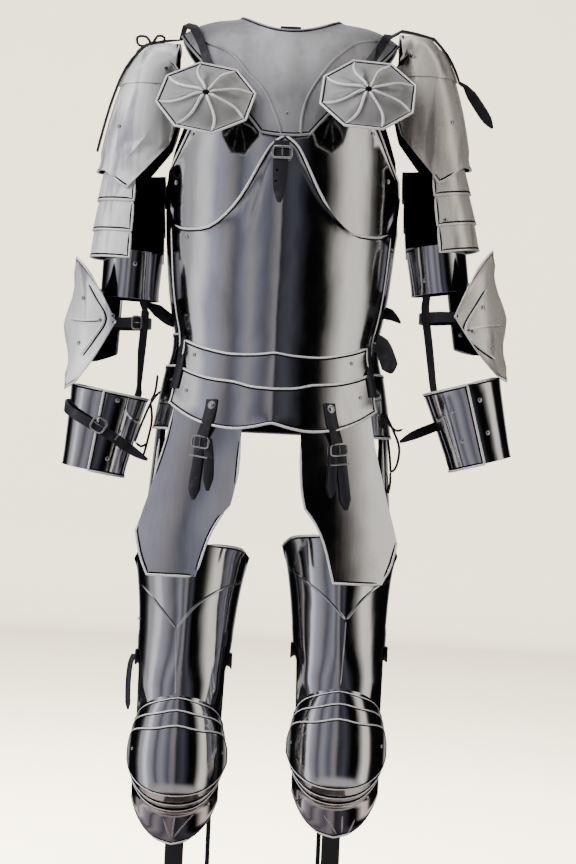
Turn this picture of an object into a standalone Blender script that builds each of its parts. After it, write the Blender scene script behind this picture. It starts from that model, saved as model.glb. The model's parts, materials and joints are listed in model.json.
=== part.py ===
"""Suit of plate armour on a plain black stand, with knees that bend.

Metres, +Z up. The suit faces -Y. The origin is on the floor, under the middle of the stand's base.
"Left" and "right" are the wearer's: right is at -X, left is at +X.
"""

import math

import bmesh
import bpy
from mathutils import Matrix, Vector

# Plate thickness, and the step from one plate to the plate that overlaps it
PLATE = 0.0015
GAP = 0.0006
STEP = PLATE + GAP

# How far each trunk plate's inner face lies out from the trunk's own surface
LAYER = {
    "backplate": -0.0025,
    "breastplate": 0.0,
    "culet_upper": 0.0,
    "culet_lower": 0.0022,
    "plackart": 0.0030,
    "tasset": 0.0047,
    "fauld_upper": 0.0052,
    "fauld_lower": 0.0074,
}

# Angles from the front ridge, in degrees, at which every trunk plate has an edge line, so that they nest
FRONT_LINES = (0, 3, 6.5, 10, 14, 19, 26, 35, 45, 54)
BACK_LINES = (59, 68, 78, 90, 103, 116, 129, 142, 155, 168, 180)

# Torso sections: height, half width, depth in front and depth behind
TORSO = (
    {"z": 0.930, "half": 0.163, "front": 0.143, "back": 0.133},
    {"z": 0.960, "half": 0.158, "front": 0.136, "back": 0.127},
    {"z": 1.000, "half": 0.152, "front": 0.124, "back": 0.117},
    {"z": 1.036, "half": 0.145, "front": 0.111, "back": 0.107},
    {"z": 1.060, "half": 0.139, "front": 0.104, "back": 0.102},
    {"z": 1.080, "half": 0.140, "front": 0.105, "back": 0.102},
    {"z": 1.100, "half": 0.145, "front": 0.111, "back": 0.105},
    {"z": 1.140, "half": 0.152, "front": 0.127, "back": 0.112},
    {"z": 1.190, "half": 0.1565, "front": 0.143, "back": 0.121},
    {"z": 1.240, "half": 0.160, "front": 0.150, "back": 0.127},
    {"z": 1.290, "half": 0.161, "front": 0.148, "back": 0.131},
    {"z": 1.335, "half": 0.157, "front": 0.138, "back": 0.131},
    {"z": 1.375, "half": 0.152, "front": 0.122, "back": 0.126},
    {"z": 1.410, "half": 0.149, "front": 0.104, "back": 0.115},
    {"z": 1.440, "half": 0.146, "front": 0.088, "back": 0.098},
    {"z": 1.470, "half": 0.143, "front": 0.074, "back": 0.080},
)
KEEL = 0.009
KEEL_SPREAD = math.radians(48)

# Breastplate
CHEST_FOOT = 1.190
CHEST_TOP = 1.425
CHEST_EDGE = (
    {"z": 1.190, "angle": 64},
    {"z": 1.235, "angle": 64},
    {"z": 1.270, "angle": 72},
    {"z": 1.290, "angle": 70},
    {"z": 1.324, "angle": 59},
    {"z": 1.364, "angle": 51},
    {"z": 1.400, "angle": 43},
    {"z": 1.425, "angle": 39},
)

# Plackart: its pointed top border, by angle from the centre ridge
PLACKART_TOP = (
    {"angle": 0, "z": 1.3370},
    {"angle": 6, "z": 1.3250},
    {"angle": 12, "z": 1.2930},
    {"angle": 18, "z": 1.2600},
    {"angle": 26, "z": 1.2330},
    {"angle": 36, "z": 1.2160},
    {"angle": 50, "z": 1.2150},
    {"angle": 65, "z": 1.2270},
)
FRONT_SIDE = math.radians(64)
FAULD_SIDE = math.radians(57)

# Waist line, line between the fauld lames, and the fauld's foot, by angle from the centre ridge
WAIST = (
    {"angle": 0, "z": 1.0550},
    {"angle": 10, "z": 1.0510},
    {"angle": 22, "z": 1.0500},
    {"angle": 40, "z": 1.0580},
    {"angle": 65, "z": 1.0750},
)
LAME_LINE = (
    {"angle": 0, "z": 1.0055},
    {"angle": 12, "z": 1.0075},
    {"angle": 17, "z": 1.0125},
    {"angle": 30, "z": 1.0150},
    {"angle": 60, "z": 1.0340},
)
FAULD_FOOT = (
    {"angle": 0, "z": 0.9610},
    {"angle": 8, "z": 0.9550},
    {"angle": 17, "z": 0.9515},
    {"angle": 30, "z": 0.9555},
    {"angle": 60, "z": 0.9860},
)
LAME_TUCK = 0.014
CULET_FOOT = 0.950
CULET_SIDE = math.radians(54.5)

# Backplate
BACK_FOOT = 1.064
BACK_TOP = 1.455
BACK_EDGE = (
    {"z": 1.060, "angle": 59},
    {"z": 1.230, "angle": 59},
    {"z": 1.262, "angle": 68},
    {"z": 1.300, "angle": 92},
    {"z": 1.345, "angle": 108},
    {"z": 1.400, "angle": 118},
    {"z": 1.455, "angle": 130},
)

# Gorget: neck opening, and the outer border by bearing from the front
NECK_HALF = 0.067
NECK_FRONT = 0.066
NECK_BACK = 0.060
NECK_Z = 1.484
NECK_RISE = 0.022
GORGET_BORDER = (
    {"bearing": 0, "x": 0.000, "y": -0.1515, "z": 1.3380},
    {"bearing": 12, "x": 0.026, "y": -0.1475, "z": 1.3390},
    {"bearing": 26, "x": 0.054, "y": -0.1320, "z": 1.3700},
    {"bearing": 42, "x": 0.086, "y": -0.1080, "z": 1.4080},
    {"bearing": 60, "x": 0.120, "y": -0.0800, "z": 1.4440},
    {"bearing": 78, "x": 0.139, "y": -0.0460, "z": 1.4680},
    {"bearing": 92, "x": 0.145, "y": -0.0100, "z": 1.4800},
    {"bearing": 110, "x": 0.142, "y": 0.0400, "z": 1.4720},
    {"bearing": 135, "x": 0.105, "y": 0.0960, "z": 1.4350},
    {"bearing": 160, "x": 0.045, "y": 0.1220, "z": 1.4080},
    {"bearing": 180, "x": 0.000, "y": 0.1260, "z": 1.4000},
)
GORGET_SIDE = math.radians(92)

# Front tasset: inner and outer edge, from the top down
TASSET_EDGES = (
    {"t": 0.00, "inner": 0.0380, "outer": 0.1300},
    {"t": 0.20, "inner": 0.0400, "outer": 0.1360},
    {"t": 0.38, "inner": 0.0430, "outer": 0.1480},
    {"t": 0.52, "inner": 0.0500, "outer": 0.1570},
    {"t": 0.62, "inner": 0.0660, "outer": 0.1640},
    {"t": 0.75, "inner": 0.0780, "outer": 0.1720},
    {"t": 0.88, "inner": 0.0850, "outer": 0.1660},
    {"t": 1.00, "inner": 0.0915, "outer": 0.1540},
)
TASSET_TOP = 0.964
TASSET_FOOT = 0.757
TASSET_REACH = 0.1190
TASSET_ROUND = 0.085

# Side tasset
SIDE_TASSET_TOP = 0.968
SIDE_TASSET_FOOT = 0.806
SIDE_TASSET_ANGLES = (math.radians(70), math.radians(112))

# Besagew: an eight-sided ribbed disc
BESAGEW_RADIUS = 0.0650
BESAGEW_DOME = 0.0130
BESAGEW_FLUTE = 0.0045
BESAGEW_PLACE = (0.1055, -0.1480, 1.3890)
BESAGEW_LEAN = math.radians(38)
BESAGEW_TURN = {"right": math.radians(10), "left": math.radians(18)}

# How the suit hangs: each side's small rise, and each arm's swing outwards at the shoulder
RISE = {"right": -0.0130, "left": 0.0130}
BESAGEW_RISE = {"right": -0.0070, "left": 0.0070}
LEG_RISE = {"right": -0.0095, "left": 0.0095}
SWING = {"right": math.radians(-3.2), "left": math.radians(3.2)}
SHOULDER = (0.200, 0.0, 1.300)

# Pauldron: centre and half sizes by height
PAULDRON = (
    {"z": 1.280, "centre": 0.2000, "half": 0.0545, "deep": 0.0600, "start": 8},
    {"z": 1.310, "centre": 0.1980, "half": 0.0540, "deep": 0.0610, "start": -14},
    {"z": 1.340, "centre": 0.1950, "half": 0.0530, "deep": 0.0620, "start": -40},
    {"z": 1.375, "centre": 0.1910, "half": 0.0500, "deep": 0.0620, "start": -55},
    {"z": 1.405, "centre": 0.1870, "half": 0.0460, "deep": 0.0600, "start": -62},
    {"z": 1.440, "centre": 0.1830, "half": 0.0385, "deep": 0.0560, "start": -66},
)
PAULDRON_FOOT = (
    {"u": 0.00, "z": 1.2830},
    {"u": 0.10, "z": 1.2900},
    {"u": 0.22, "z": 1.3060},
    {"u": 0.50, "z": 1.3070},
    {"u": 0.78, "z": 1.3060},
    {"u": 0.90, "z": 1.2900},
    {"u": 1.00, "z": 1.2830},
)
PAULDRON_TOP = 1.436
PAULDRON_TOP_FOOT = 1.424
PAULDRON_LAP = 0.16
PAULDRON_LINES = (0.0, 0.045, 0.14, 0.25, 0.37, 0.5, 0.63, 0.75, 0.86, 0.955, 1.0)
PAULDRON_NECK = 0.1500
PAULDRON_CROWN = 1.4830
PAULDRON_NECK_FOOT = 1.4380

# Upper arm: axis, lames and cannon
ARM_LEAN = math.radians(5.5)
ARM_LAMES = (
    {"name": "a", "top": -0.010, "foot": 0.0340, "wide": (0.0440, 0.0500), "deep": (0.0562, 0.0600)},
    {"name": "b", "top": 0.0270, "foot": 0.0745, "wide": (0.0465, 0.0530), "deep": (0.0576, 0.0590)},
    {"name": "c", "top": 0.0670, "foot": 0.1105, "wide": (0.0502, 0.0535), "deep": (0.0571, 0.0592)},
)
LAME_START = math.radians(-3)
LAME_END = math.radians(235)
CANNON_TOP = 0.1000
CANNON_FOOT = 0.1640
CANNON_HALF = (0.0405, 0.0385)
CANNON_DEEP = (0.0557, 0.0460)
CANNON_SHIFT = (-0.0045, -0.0040)

# Couter: plan place and reach above and below the elbow, from its front point round to its back edge
COUTER_Z = 1.103
COUTER = (
    {"u": 0.00, "x": 0.2270, "y": -0.0640, "flare": 0.000, "up": 0.003, "down": 0.003},
    {"u": 0.10, "x": 0.2420, "y": -0.0610, "flare": 0.004, "up": 0.034, "down": 0.038},
    {"u": 0.22, "x": 0.2600, "y": -0.0530, "flare": 0.010, "up": 0.068, "down": 0.074},
    {"u": 0.32, "x": 0.2740, "y": -0.0400, "flare": 0.014, "up": 0.088, "down": 0.088},
    {"u": 0.42, "x": 0.2870, "y": -0.0230, "flare": 0.000, "up": 0.062, "down": 0.060},
    {"u": 0.54, "x": 0.2985, "y": 0.0020, "flare": -0.010, "up": 0.050, "down": 0.046},
    {"u": 0.68, "x": 0.2930, "y": 0.0320, "flare": -0.014, "up": 0.050, "down": 0.046},
    {"u": 0.82, "x": 0.2700, "y": 0.0560, "flare": -0.004, "up": 0.054, "down": 0.052},
    {"u": 1.00, "x": 0.2300, "y": 0.0660, "flare": 0.000, "up": 0.040, "down": 0.040},
)
COUTER_RIDGE = 0.002

# Vambrace: top centre, foot centre, half sizes
VAMBRACE_TOP = (0.2400, -0.004, 1.012)
VAMBRACE_FOOT = (0.2640, -0.004, 0.905)
VAMBRACE_HALF = (0.0500, 0.0395)
VAMBRACE_DEEP = (0.0480, 0.0385)
VAMBRACE_SEAM = math.radians(8)
VAMBRACE_LAP = STEP + 0.0012

# Vambrace straps: the run on the plates, then the free end by place and clearance
VAMBRACE_STRAP = {
    "right": {"first": 118, "last": -52, "high": 0.25, "low": 0.62, "curve": 1.4},
    "left": {"first": 122, "last": 205, "high": 0.34, "low": 0.40, "curve": 1.0},
}
VAMBRACE_STRAP_END = {
    "right": (
        {"degrees": -60, "along": 0.68, "clear": 0.014, "width": 0.012},
        {"degrees": -66, "along": 0.73, "clear": 0.030, "width": 0.004},
    ),
    "left": (
        {"degrees": 226, "along": 0.42, "clear": 0.003, "width": 0.013},
        {"degrees": 242, "along": 0.44, "clear": 0.012, "width": 0.013},
        {"degrees": 259, "along": 0.47, "clear": 0.031, "width": 0.013},
        {"degrees": 267, "along": 0.51, "clear": 0.048, "width": 0.004},
    ),
}

# Legs: axis of the knee, and the barrel on which the knee plates turn
KNEE = (0.1080, 0.016, 0.5120)
KNEE_RADIUS = 0.1090
KNEE_HALF = 0.0670
KNEE_SQUARE = 2.7
KNEE_RIDGE = 0.06
KNEE_REACH = 0.93
KNEE_CUSP = 0.007

# Upper edge and lower edge of each knee plate in degrees above the axis, at the ridge and at the sides
KNEE_PLATES = (
    {"name": "knee_lame_1", "layer": 2, "rows": 4, "top": (52.0, 79.0), "foot": (26.0, 45.0)},
    {"name": "knee_lame_2", "layer": 1, "rows": 4, "top": (39.0, 62.0), "foot": (13.0, 26.0)},
    {"name": "poleyn", "layer": 0, "rows": 7, "top": (26.0, 44.0), "foot": (-21.5, -12.0)},
    {"name": "knee_lame_3", "layer": 1, "rows": 3, "top": (-8.0, 0.0), "foot": (-30.0, -18.5)},
    {"name": "knee_lame_4", "layer": 2, "rows": 3, "top": (-15.0, -6.0), "foot": (-36.5, -25.0)},
)
GREAVE_LAYER = 3
GREAVE_TOP = 22.0
GREAVE_BEND = 41.0
GREAVE_DROP = 0.1070
GREAVE_CUT = 0.055
GREAVE_WIDE = 0.80
CUISSE_WIDE = 0.78

# Shares across the knee's barrel at which every plate on it has an edge line, so that they nest as they turn
KNEE_LINES = (0.0, 0.14, 0.28, 0.44, 0.62, 0.78)

# Cuisse: centre, half width and depths by height above the knee's axis
CUISSE = (
    {"rise": 0.106, "centre": 0.1070, "half": 0.0600, "front": 0.0510, "back": 0.020},
    {"rise": 0.150, "centre": 0.1050, "half": 0.0625, "front": 0.0600, "back": 0.018},
    {"rise": 0.200, "centre": 0.1030, "half": 0.0660, "front": 0.0690, "back": 0.016},
    {"rise": 0.250, "centre": 0.1015, "half": 0.0715, "front": 0.0780, "back": 0.014},
    {"rise": 0.300, "centre": 0.1000, "half": 0.0765, "front": 0.0860, "back": 0.012},
)
CUISSE_FLUTE = (
    {"u": -1.0, "rise": 0.252},
    {"u": -0.5, "rise": 0.226},
    {"u": 0.0, "rise": 0.186},
    {"u": 0.5, "rise": 0.226},
    {"u": 1.0, "rise": 0.252},
)
CUISSE_CREST = (
    {"u": -1.0, "rise": 0.262},
    {"u": -0.55, "rise": 0.292},
    {"u": 0.0, "rise": 0.298},
    {"u": 0.5, "rise": 0.290},
    {"u": 1.0, "rise": 0.252},
)
# The cuisse's part on the knee's barrel, in degrees above the axis
CUISSE_FOOT = 38.0
CUISSE_HEM = 60.0
CUISSE_RISE = 12.8
CUISSE_KEEL = 0.006
CUISSE_STEP = 0.0020

# The elbow: the couter's strap round the inside of the arm, and the leather down through it
ELBOW_LOOP = (
    (0.2080, -0.0590),
    (0.1930, -0.0480),
    (0.1850, -0.0300),
    (0.1820, 0.0000),
    (0.1850, 0.0300),
    (0.1930, 0.0480),
    (0.2080, 0.0600),
)
ELBOW_LINK = ((0.1880, -0.0375, 1.118), (0.1890, -0.0385, 1.100), (0.1935, -0.0330, 1.065))

# Straps
LEATHER = 0.0026
SEAT = 0.0004

CHEST_STRAP = (
    {"z": 1.331, "width": 0.020, "clear": 0.0022},
    {"z": 1.318, "width": 0.020, "clear": 0.0006},
    {"z": 1.290, "width": 0.020, "clear": 0.0},
    {"z": 1.264, "width": 0.017, "clear": 0.0},
    {"z": 1.250, "width": 0.004, "clear": 0.0},
)

# The free end of each shoulder strap: place, share of its twist towards the front, and width
SHOULDER_END = {
    "right": (
        {"x": 0.2372, "z": 1.4000, "twist": 0.0, "width": 0.013},
        {"x": 0.2468, "z": 1.3600, "twist": 0.0, "width": 0.013},
        {"x": 0.2520, "z": 1.3350, "twist": 0.0, "width": 0.013},
    ),
    "left": (
        {"x": 0.2370, "z": 1.4215, "twist": 0.35, "width": 0.013},
        {"x": 0.2465, "z": 1.4090, "twist": 0.9, "width": 0.014},
        {"x": 0.2590, "z": 1.3915, "twist": 1.0, "width": 0.015},
        {"x": 0.2700, "z": 1.3760, "twist": 1.0, "width": 0.014},
        {"x": 0.2770, "z": 1.3660, "twist": 1.0, "width": 0.003},
    ),
}

# Stand
BASE_SIZE = (0.460, 0.400, 0.008)
POST = 0.025
POST_Y = 0.052
HIP_Z = 0.985
SEAM = 0.0003
SPINE_TOP = 1.503
YOKE_Z = 1.4890
YOKE_HALF = 0.128

STEEL = {"colour": (0.62, 0.63, 0.66, 1.0), "roughness": 0.18, "metallic": 1.0}
GREY_STEEL = {"colour": (0.36, 0.36, 0.38, 1.0), "roughness": 0.42, "metallic": 1.0}
BLACK_LEATHER = {"colour": (0.012, 0.012, 0.014, 1.0), "roughness": 0.45, "metallic": 0.0}
BLACK_PAINT = {"colour": (0.010, 0.010, 0.011, 1.0), "roughness": 0.55, "metallic": 0.0}


def clear_scene():
    """Remove whatever the new file holds."""
    for item in list(bpy.data.objects):
        bpy.data.objects.remove(item, do_unlink=True)


def new_collection(name):
    collection = bpy.data.collections.new(name)
    bpy.context.scene.collection.children.link(collection)
    return collection


def finish_material(name, look):
    """One Principled material for one piece."""
    material = bpy.data.materials.new(name)
    material.use_nodes = True
    shader = material.node_tree.nodes["Principled BSDF"]
    shader.inputs["Base Color"].default_value = look["colour"]
    shader.inputs["Roughness"].default_value = look["roughness"]
    shader.inputs["Metallic"].default_value = look["metallic"]
    return material


def read(table, key, value, at):
    """Smooth reading of one column of a table, by Hermite curves between its rows."""
    rows = [(row[key], row[value]) for row in table]
    if at <= rows[0][0]:
        return rows[0][1]
    if at >= rows[-1][0]:
        return rows[-1][1]
    index = max(i for i, row in enumerate(rows) if row[0] <= at)
    start, end = rows[index], rows[index + 1]
    chord = (end[1] - start[1]) / (end[0] - start[0])
    before = chord
    after = chord
    if index > 0:
        last = rows[index - 1]
        before = limited((start[1] - last[1]) / (start[0] - last[0]), chord)
    if index + 2 < len(rows):
        later = rows[index + 2]
        after = limited(chord, (later[1] - end[1]) / (later[0] - end[0]))
    span = end[0] - start[0]
    t = (at - start[0]) / span
    return (
        start[1] * (2 * t**3 - 3 * t**2 + 1)
        + before * span * (t**3 - 2 * t**2 + t)
        + end[1] * (3 * t**2 - 2 * t**3)
        + after * span * (t**3 - t**2)
    )


def limited(one, other):
    """The slope where two chords meet: none at a peak, and never steep enough to overshoot."""
    if one * other <= 0:
        return 0.0
    return 2 * one * other / (one + other)


def mix(low, high, share):
    return low + (high - low) * share


def even(count):
    """Shares from 0 to 1 in equal steps."""
    return [i / count for i in range(count + 1)]


def outward(surface, s, t, centre, distance):
    """The point of a surface at s, t, moved out along its normal, away from the centre line."""
    small = 0.004
    low_s, high_s = max(s - small, 0.0), min(s + small, 1.0)
    low_t, high_t = max(t - small, 0.0), min(t + small, 1.0)
    across = surface(high_s, t) - surface(low_s, t)
    along = surface(s, high_t) - surface(s, low_t)
    point = surface(s, t)
    normal = across.cross(along)
    if normal.length < 1e-12:
        return point
    normal.normalize()
    away = point - centre(point)
    if normal.dot(away) < 0:
        normal.negate()
    return point + normal * distance


def add_mesh(name, points, faces, look, collection):
    mesh = bpy.data.meshes.new(name)
    mesh.from_pydata(points, [], faces)
    mesh.update()
    item = bpy.data.objects.new(name, mesh)
    collection.objects.link(item)
    mesh.materials.append(finish_material(name, look))
    return item


def shell(name, surface, across, along, centre, collection, look, out=0.0, lip=None, closed=False):
    """A plate: a grid on a surface, moved out by its layer and its border, then given its thickness."""
    points = []
    for t in along:
        for s in across:
            more = lip(s, t) if lip else 0.0
            points.append(outward(surface, s, t, centre, out + more))
    wide = len(across)
    columns = wide if closed else wide - 1
    faces = []
    for row in range(len(along) - 1):
        for column in range(columns):
            one = row * wide + column
            two = row * wide + (column + 1) % wide
            faces.append((one, two, two + wide, one + wide))
    chosen = faces[len(faces) // 2]
    middle = sum((points[i] for i in chosen), Vector()) / 4
    side = (points[chosen[2]] - points[chosen[0]]).cross(points[chosen[3]] - points[chosen[1]])
    if side.dot(middle - centre(middle)) < 0:
        faces = [tuple(reversed(face)) for face in faces]
    item = add_mesh(name, points, faces, look, collection)
    wall = item.modifiers.new("wall", "SOLIDIFY")
    wall.thickness = PLATE
    wall.offset = 1.0
    wall.use_even_offset = True
    wall.use_rim = True
    item.data.shade_smooth()
    item.data.set_sharp_from_angle(angle=math.radians(35))
    return item


def line_centre(x=0.0, y=0.0):
    """The upright line that a plate is wrapped round."""
    return lambda point: Vector((x, y, point.z))


def torso_point(angle, z, keel=KEEL):
    """A point of the trunk, by angle from the front ridge and by height."""
    half = read(TORSO, "z", "half", z)
    if math.cos(angle) >= 0:
        depth = -read(TORSO, "z", "front", z)
    else:
        depth = -read(TORSO, "z", "back", z)
    ridge = keel * max(0.0, 1 - abs(angle) / KEEL_SPREAD)
    return Vector((half * math.sin(angle), depth * math.cos(angle) - ridge, z))


def front_shares(side):
    """Shares across a front plate whose half angle is side, one at each of the trunk's edge lines."""
    half = math.degrees(side)
    lines = [line for line in FRONT_LINES if line < half - 2]
    right = [0.5 - 0.5 * line / half for line in lines]
    left = [0.5 + 0.5 * line / half for line in lines]
    return sorted(set([0.0] + right + left + [1.0]))


def back_shares(side):
    """Shares round a back plate that starts at side, one at each of the trunk's edge lines."""
    start = math.degrees(side)
    lines = [line for line in BACK_LINES if line > start + 2]
    lines = lines + [360 - line for line in lines]
    return sorted(set([0.0] + [(line - start) / (360 - 2 * start) for line in lines] + [1.0]))


def degrees_of(angle):
    return abs(math.degrees(angle))


def edge_band(share, border):
    """1 on a border at either end of a share, 0 between."""
    return 1.0 if share < border / 2 or share > 1 - border / 2 else 0.0


def make_breastplate(collection):
    def surface(s, t):
        z = mix(CHEST_FOOT, CHEST_TOP, t)
        side = math.radians(read(CHEST_EDGE, "z", "angle", z))
        angle = mix(-side, side, s)
        drop = 0.022 * t**3 * math.cos(math.pi / 2 * (2 * s - 1)) ** 2
        return torso_point(angle, z - drop)

    def lip(s, t):
        return 0.0028 * edge_band(s, 0.02) if t > 0.2 else 0.0

    across = front_shares(math.radians(64))
    across = [0.0, 0.022] + across[1:-1] + [0.978, 1.0]
    layer = LAYER["breastplate"]
    shell("breastplate", surface, across, even(9), line_centre(), collection, STEEL, layer, lip)


def make_plackart(collection):
    def surface(s, t):
        angle = mix(-FRONT_SIDE, FRONT_SIDE, s)
        top = read(PLACKART_TOP, "angle", "z", degrees_of(angle))
        foot = read(WAIST, "angle", "z", degrees_of(angle)) - LAME_TUCK
        return torso_point(angle, mix(foot, top, t))

    def lip(s, t):
        return 0.0022 if t > 0.985 else 0.0

    across = front_shares(FRONT_SIDE)
    along = [0.0, 0.05, 0.10, 0.16, 0.25, 0.37, 0.50, 0.62, 0.74, 0.86, 0.97, 1.0]
    layer = LAYER["plackart"]
    shell("plackart", surface, across, along, line_centre(), collection, STEEL, layer, lip)


def make_backplate(collection):
    def surface(s, t):
        z = mix(BACK_FOOT, BACK_TOP, t)
        side = math.radians(read(BACK_EDGE, "z", "angle", z))
        return torso_point(mix(side, 2 * math.pi - side, s), z, 0.0)

    across = back_shares(math.radians(59))
    along = [0.0, 0.04, 0.09, 0.18, 0.30, 0.42, 0.54, 0.68, 0.84, 1.0]
    shell("backplate", surface, across, along, line_centre(), collection, STEEL, LAYER["backplate"])


def make_fauld(collection):
    """Two lames in front, each overlapping the plate above it, and two behind."""

    def front(upper, lower, tuck):
        def surface(s, t):
            angle = mix(-FAULD_SIDE, FAULD_SIDE, s)
            top = read(upper, "angle", "z", degrees_of(angle))
            foot = read(lower, "angle", "z", degrees_of(angle)) - tuck
            return torso_point(angle, mix(foot, top, t), KEEL)

        return surface

    def foot_roll(s, t):
        return 0.0026 if t < 0.03 else 0.0

    across = front_shares(FAULD_SIDE)
    centre = line_centre()
    surface = front(WAIST, LAME_LINE, LAME_TUCK)
    layer = LAYER["fauld_upper"]
    shell("fauld_lame_upper", surface, across, even(3), centre, collection, STEEL, layer)
    surface = front(LAME_LINE, FAULD_FOOT, 0.0)
    along = [0.0, 0.10, 0.55, 1.0]
    layer = LAYER["fauld_lower"]
    shell("fauld_lame_lower", surface, across, along, centre, collection, STEEL, layer, foot_roll)

    def behind(top, foot):
        def surface(s, t):
            angle = mix(CULET_SIDE, 2 * math.pi - CULET_SIDE, s)
            return torso_point(angle, mix(foot, top, t), 0.0)

        return surface

    line = read(LAME_LINE, "angle", "z", 60)
    across = back_shares(CULET_SIDE)
    surface = behind(1.078, line - LAME_TUCK)
    layer = LAYER["culet_upper"]
    shell("culet_lame_upper", surface, across, even(4), centre, collection, STEEL, layer)
    surface = behind(line, CULET_FOOT)
    layer = LAYER["culet_lower"]
    shell("culet_lame_lower", surface, across, even(2), centre, collection, STEEL, layer)


def neck_point(bearing):
    """The neck opening's rim."""
    depth = NECK_FRONT if math.cos(bearing) > 0 else NECK_BACK
    rise = NECK_RISE * math.sin(bearing) ** 2
    if math.cos(bearing) < 0:
        rise = NECK_RISE
    return Vector((NECK_HALF * math.sin(bearing), -depth * math.cos(bearing), NECK_Z + rise))


def gorget_point(bearing, share):
    """A point of the gorget, from the neck's rim (0) to its outer border (1)."""
    turn = degrees_of(bearing)
    hand = 1 if bearing >= 0 else -1
    inner = neck_point(bearing)
    outer = Vector(
        (
            hand * read(GORGET_BORDER, "bearing", "x", turn),
            read(GORGET_BORDER, "bearing", "y", turn),
            read(GORGET_BORDER, "bearing", "z", turn),
        )
    )
    facing = math.cos(bearing)
    bulge = Vector((hand * 0.010 * abs(math.sin(bearing)), -0.013 * facing, 0.012 + 0.014 * abs(facing)))
    middle = (inner + outer) / 2 + bulge
    return inner * (1 - share) ** 2 + middle * (2 * share * (1 - share)) + outer * share**2


def gorget_centre(point):
    """A low point under the collar, so that out means up and away."""
    return Vector((point.x * 0.4, point.y * 0.2, 1.25))


def make_gorget(collection):
    def front(s, t):
        return gorget_point(mix(-GORGET_SIDE, GORGET_SIDE, s), t)

    def back(s, t):
        side = GORGET_SIDE - math.radians(5)
        return gorget_point(wrapped(mix(side, 2 * math.pi - side, s)), t)

    def rim(s, t):
        return 0.0030 if t < 0.02 else 0.0

    across = [0.0, 5 / 184, 0.09, 0.17, 0.24, 0.31, 0.37, 0.42, 0.46, 0.5]
    across = across + [1 - share for share in reversed(across[:-1])]
    along = [0.0, 0.07, 0.30, 0.52, 0.76, 1.0]
    shell("gorget_front", front, across, along, gorget_centre, collection, GREY_STEEL, STEP, rim)
    across = [5 / 186 + share * 176 / 186 for share in even(12)]
    across = [0.0] + across + [1.0]
    shell("gorget_back", back, across, along, gorget_centre, collection, GREY_STEEL, 0.0)


def wrapped(bearing):
    """A bearing between minus and plus half a turn."""
    return bearing - 2 * math.pi if bearing > math.pi else bearing


def sided(side):
    """The change of place that puts a piece, built for +X, on its own side at its own height."""
    hand = -1 if side == "right" else 1

    def put(point, rise=RISE, swing=False):
        moved = Vector(point)
        if swing:
            pivot = Vector(SHOULDER)
            moved = Matrix.Rotation(-SWING[side], 3, "Y") @ (moved - pivot) + pivot
        moved.z += rise[side]
        moved.x *= hand
        return moved

    return put


def make_tassets(side, collection):
    hand = -1 if side == "right" else 1

    def surface(s, t):
        x = mix(read(TASSET_EDGES, "t", "inner", t), read(TASSET_EDGES, "t", "outer", t), s)
        z_top = mix(TASSET_TOP - 0.006, TASSET_TOP + 0.016, s)
        z = mix(z_top, TASSET_FOOT, t)
        layer = LAYER["tasset"]
        angle = math.asin(min(0.98, x / (read(TORSO, "z", "half", z_top) + layer)))
        hung = torso_point(angle, z_top, KEEL)
        top = Vector((hung.x, hung.y, 0)) * (1 + layer / Vector((hung.x, hung.y)).length)
        foot = -TASSET_REACH + (x - 0.118) ** 2 / (2 * TASSET_ROUND)
        ease = 1 - (1 - t) ** 1.6
        return Vector((hand * x, mix(top.y, foot, ease), z))

    def lip(s, t):
        if t < 0.03:
            return 0.0
        return 0.0022 if s < 0.03 or s > 0.97 or t > 0.97 else 0.0

    across = [0.0, 0.08, 0.26, 0.46, 0.66, 0.92, 1.0]
    along = [0.0, 0.20, 0.38, 0.52, 0.62, 0.75, 0.88, 0.965, 1.0]
    middle = line_centre(hand * 0.09, 0.0)
    shell(f"tasset_front_{side}", surface, across, along, middle, collection, STEEL, 0.0, lip)

    def hip(s, t):
        angle = mix(SIDE_TASSET_ANGLES[0], SIDE_TASSET_ANGLES[1], s)
        middle_angle = mix(SIDE_TASSET_ANGLES[0], SIDE_TASSET_ANGLES[1], 0.5)
        angle = mix(angle, middle_angle, 0.85 * max(0.0, t - 0.6) / 0.4)
        z = mix(SIDE_TASSET_TOP, SIDE_TASSET_FOOT, t)
        top = torso_point(angle, SIDE_TASSET_TOP, 0.0)
        flare = 1 + 0.075 * t
        return Vector((hand * top.x * flare, top.y * flare, z))

    along = [0.0, 0.3, 0.6, 0.82, 1.0]
    name = f"tasset_side_{side}"
    shell(name, hip, [0.0, 0.12, 0.5, 0.88, 1.0], along, line_centre(), collection, STEEL, -0.0002)


def make_besagew(side, collection):
    put = sided(side)
    turn = BESAGEW_TURN[side]
    place = put(BESAGEW_PLACE, BESAGEW_RISE)
    lean = Matrix.Rotation(-BESAGEW_LEAN, 3, "X")
    rings = (0.10, 0.40, 0.72, 0.93, 1.0)
    points = []
    for ring in rings:
        for corner in range(16):
            ridge = 1.0 if corner % 2 == 0 else math.cos(math.pi / 8)
            bearing = turn + math.pi / 8 * corner
            reach = BESAGEW_RADIUS * ring * ridge
            dome = BESAGEW_DOME * (1 - ring**2)
            flute = BESAGEW_FLUTE * math.sin(math.pi * min(ring, 0.93) / 0.93)
            sunk = 0.0 if corner % 2 == 0 else flute
            edge = 0.0022 if ring > 0.98 else 0.0
            flat = Vector((reach * math.cos(bearing), -(dome - sunk + edge), reach * math.sin(bearing)))
            points.append(place + lean @ flat)
    faces = [tuple(range(16))]
    for ring in range(len(rings) - 1):
        for corner in range(16):
            one = ring * 16 + corner
            two = ring * 16 + (corner + 1) % 16
            faces.append((one, one + 16, two + 16, two))
    item = add_mesh(f"besagew_{side}", points, faces, STEEL, collection)
    wall = item.modifiers.new("wall", "SOLIDIFY")
    wall.thickness = PLATE
    wall.offset = -1.0
    item.data.shade_smooth()
    item.data.set_sharp_from_angle(angle=math.radians(35))


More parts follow.
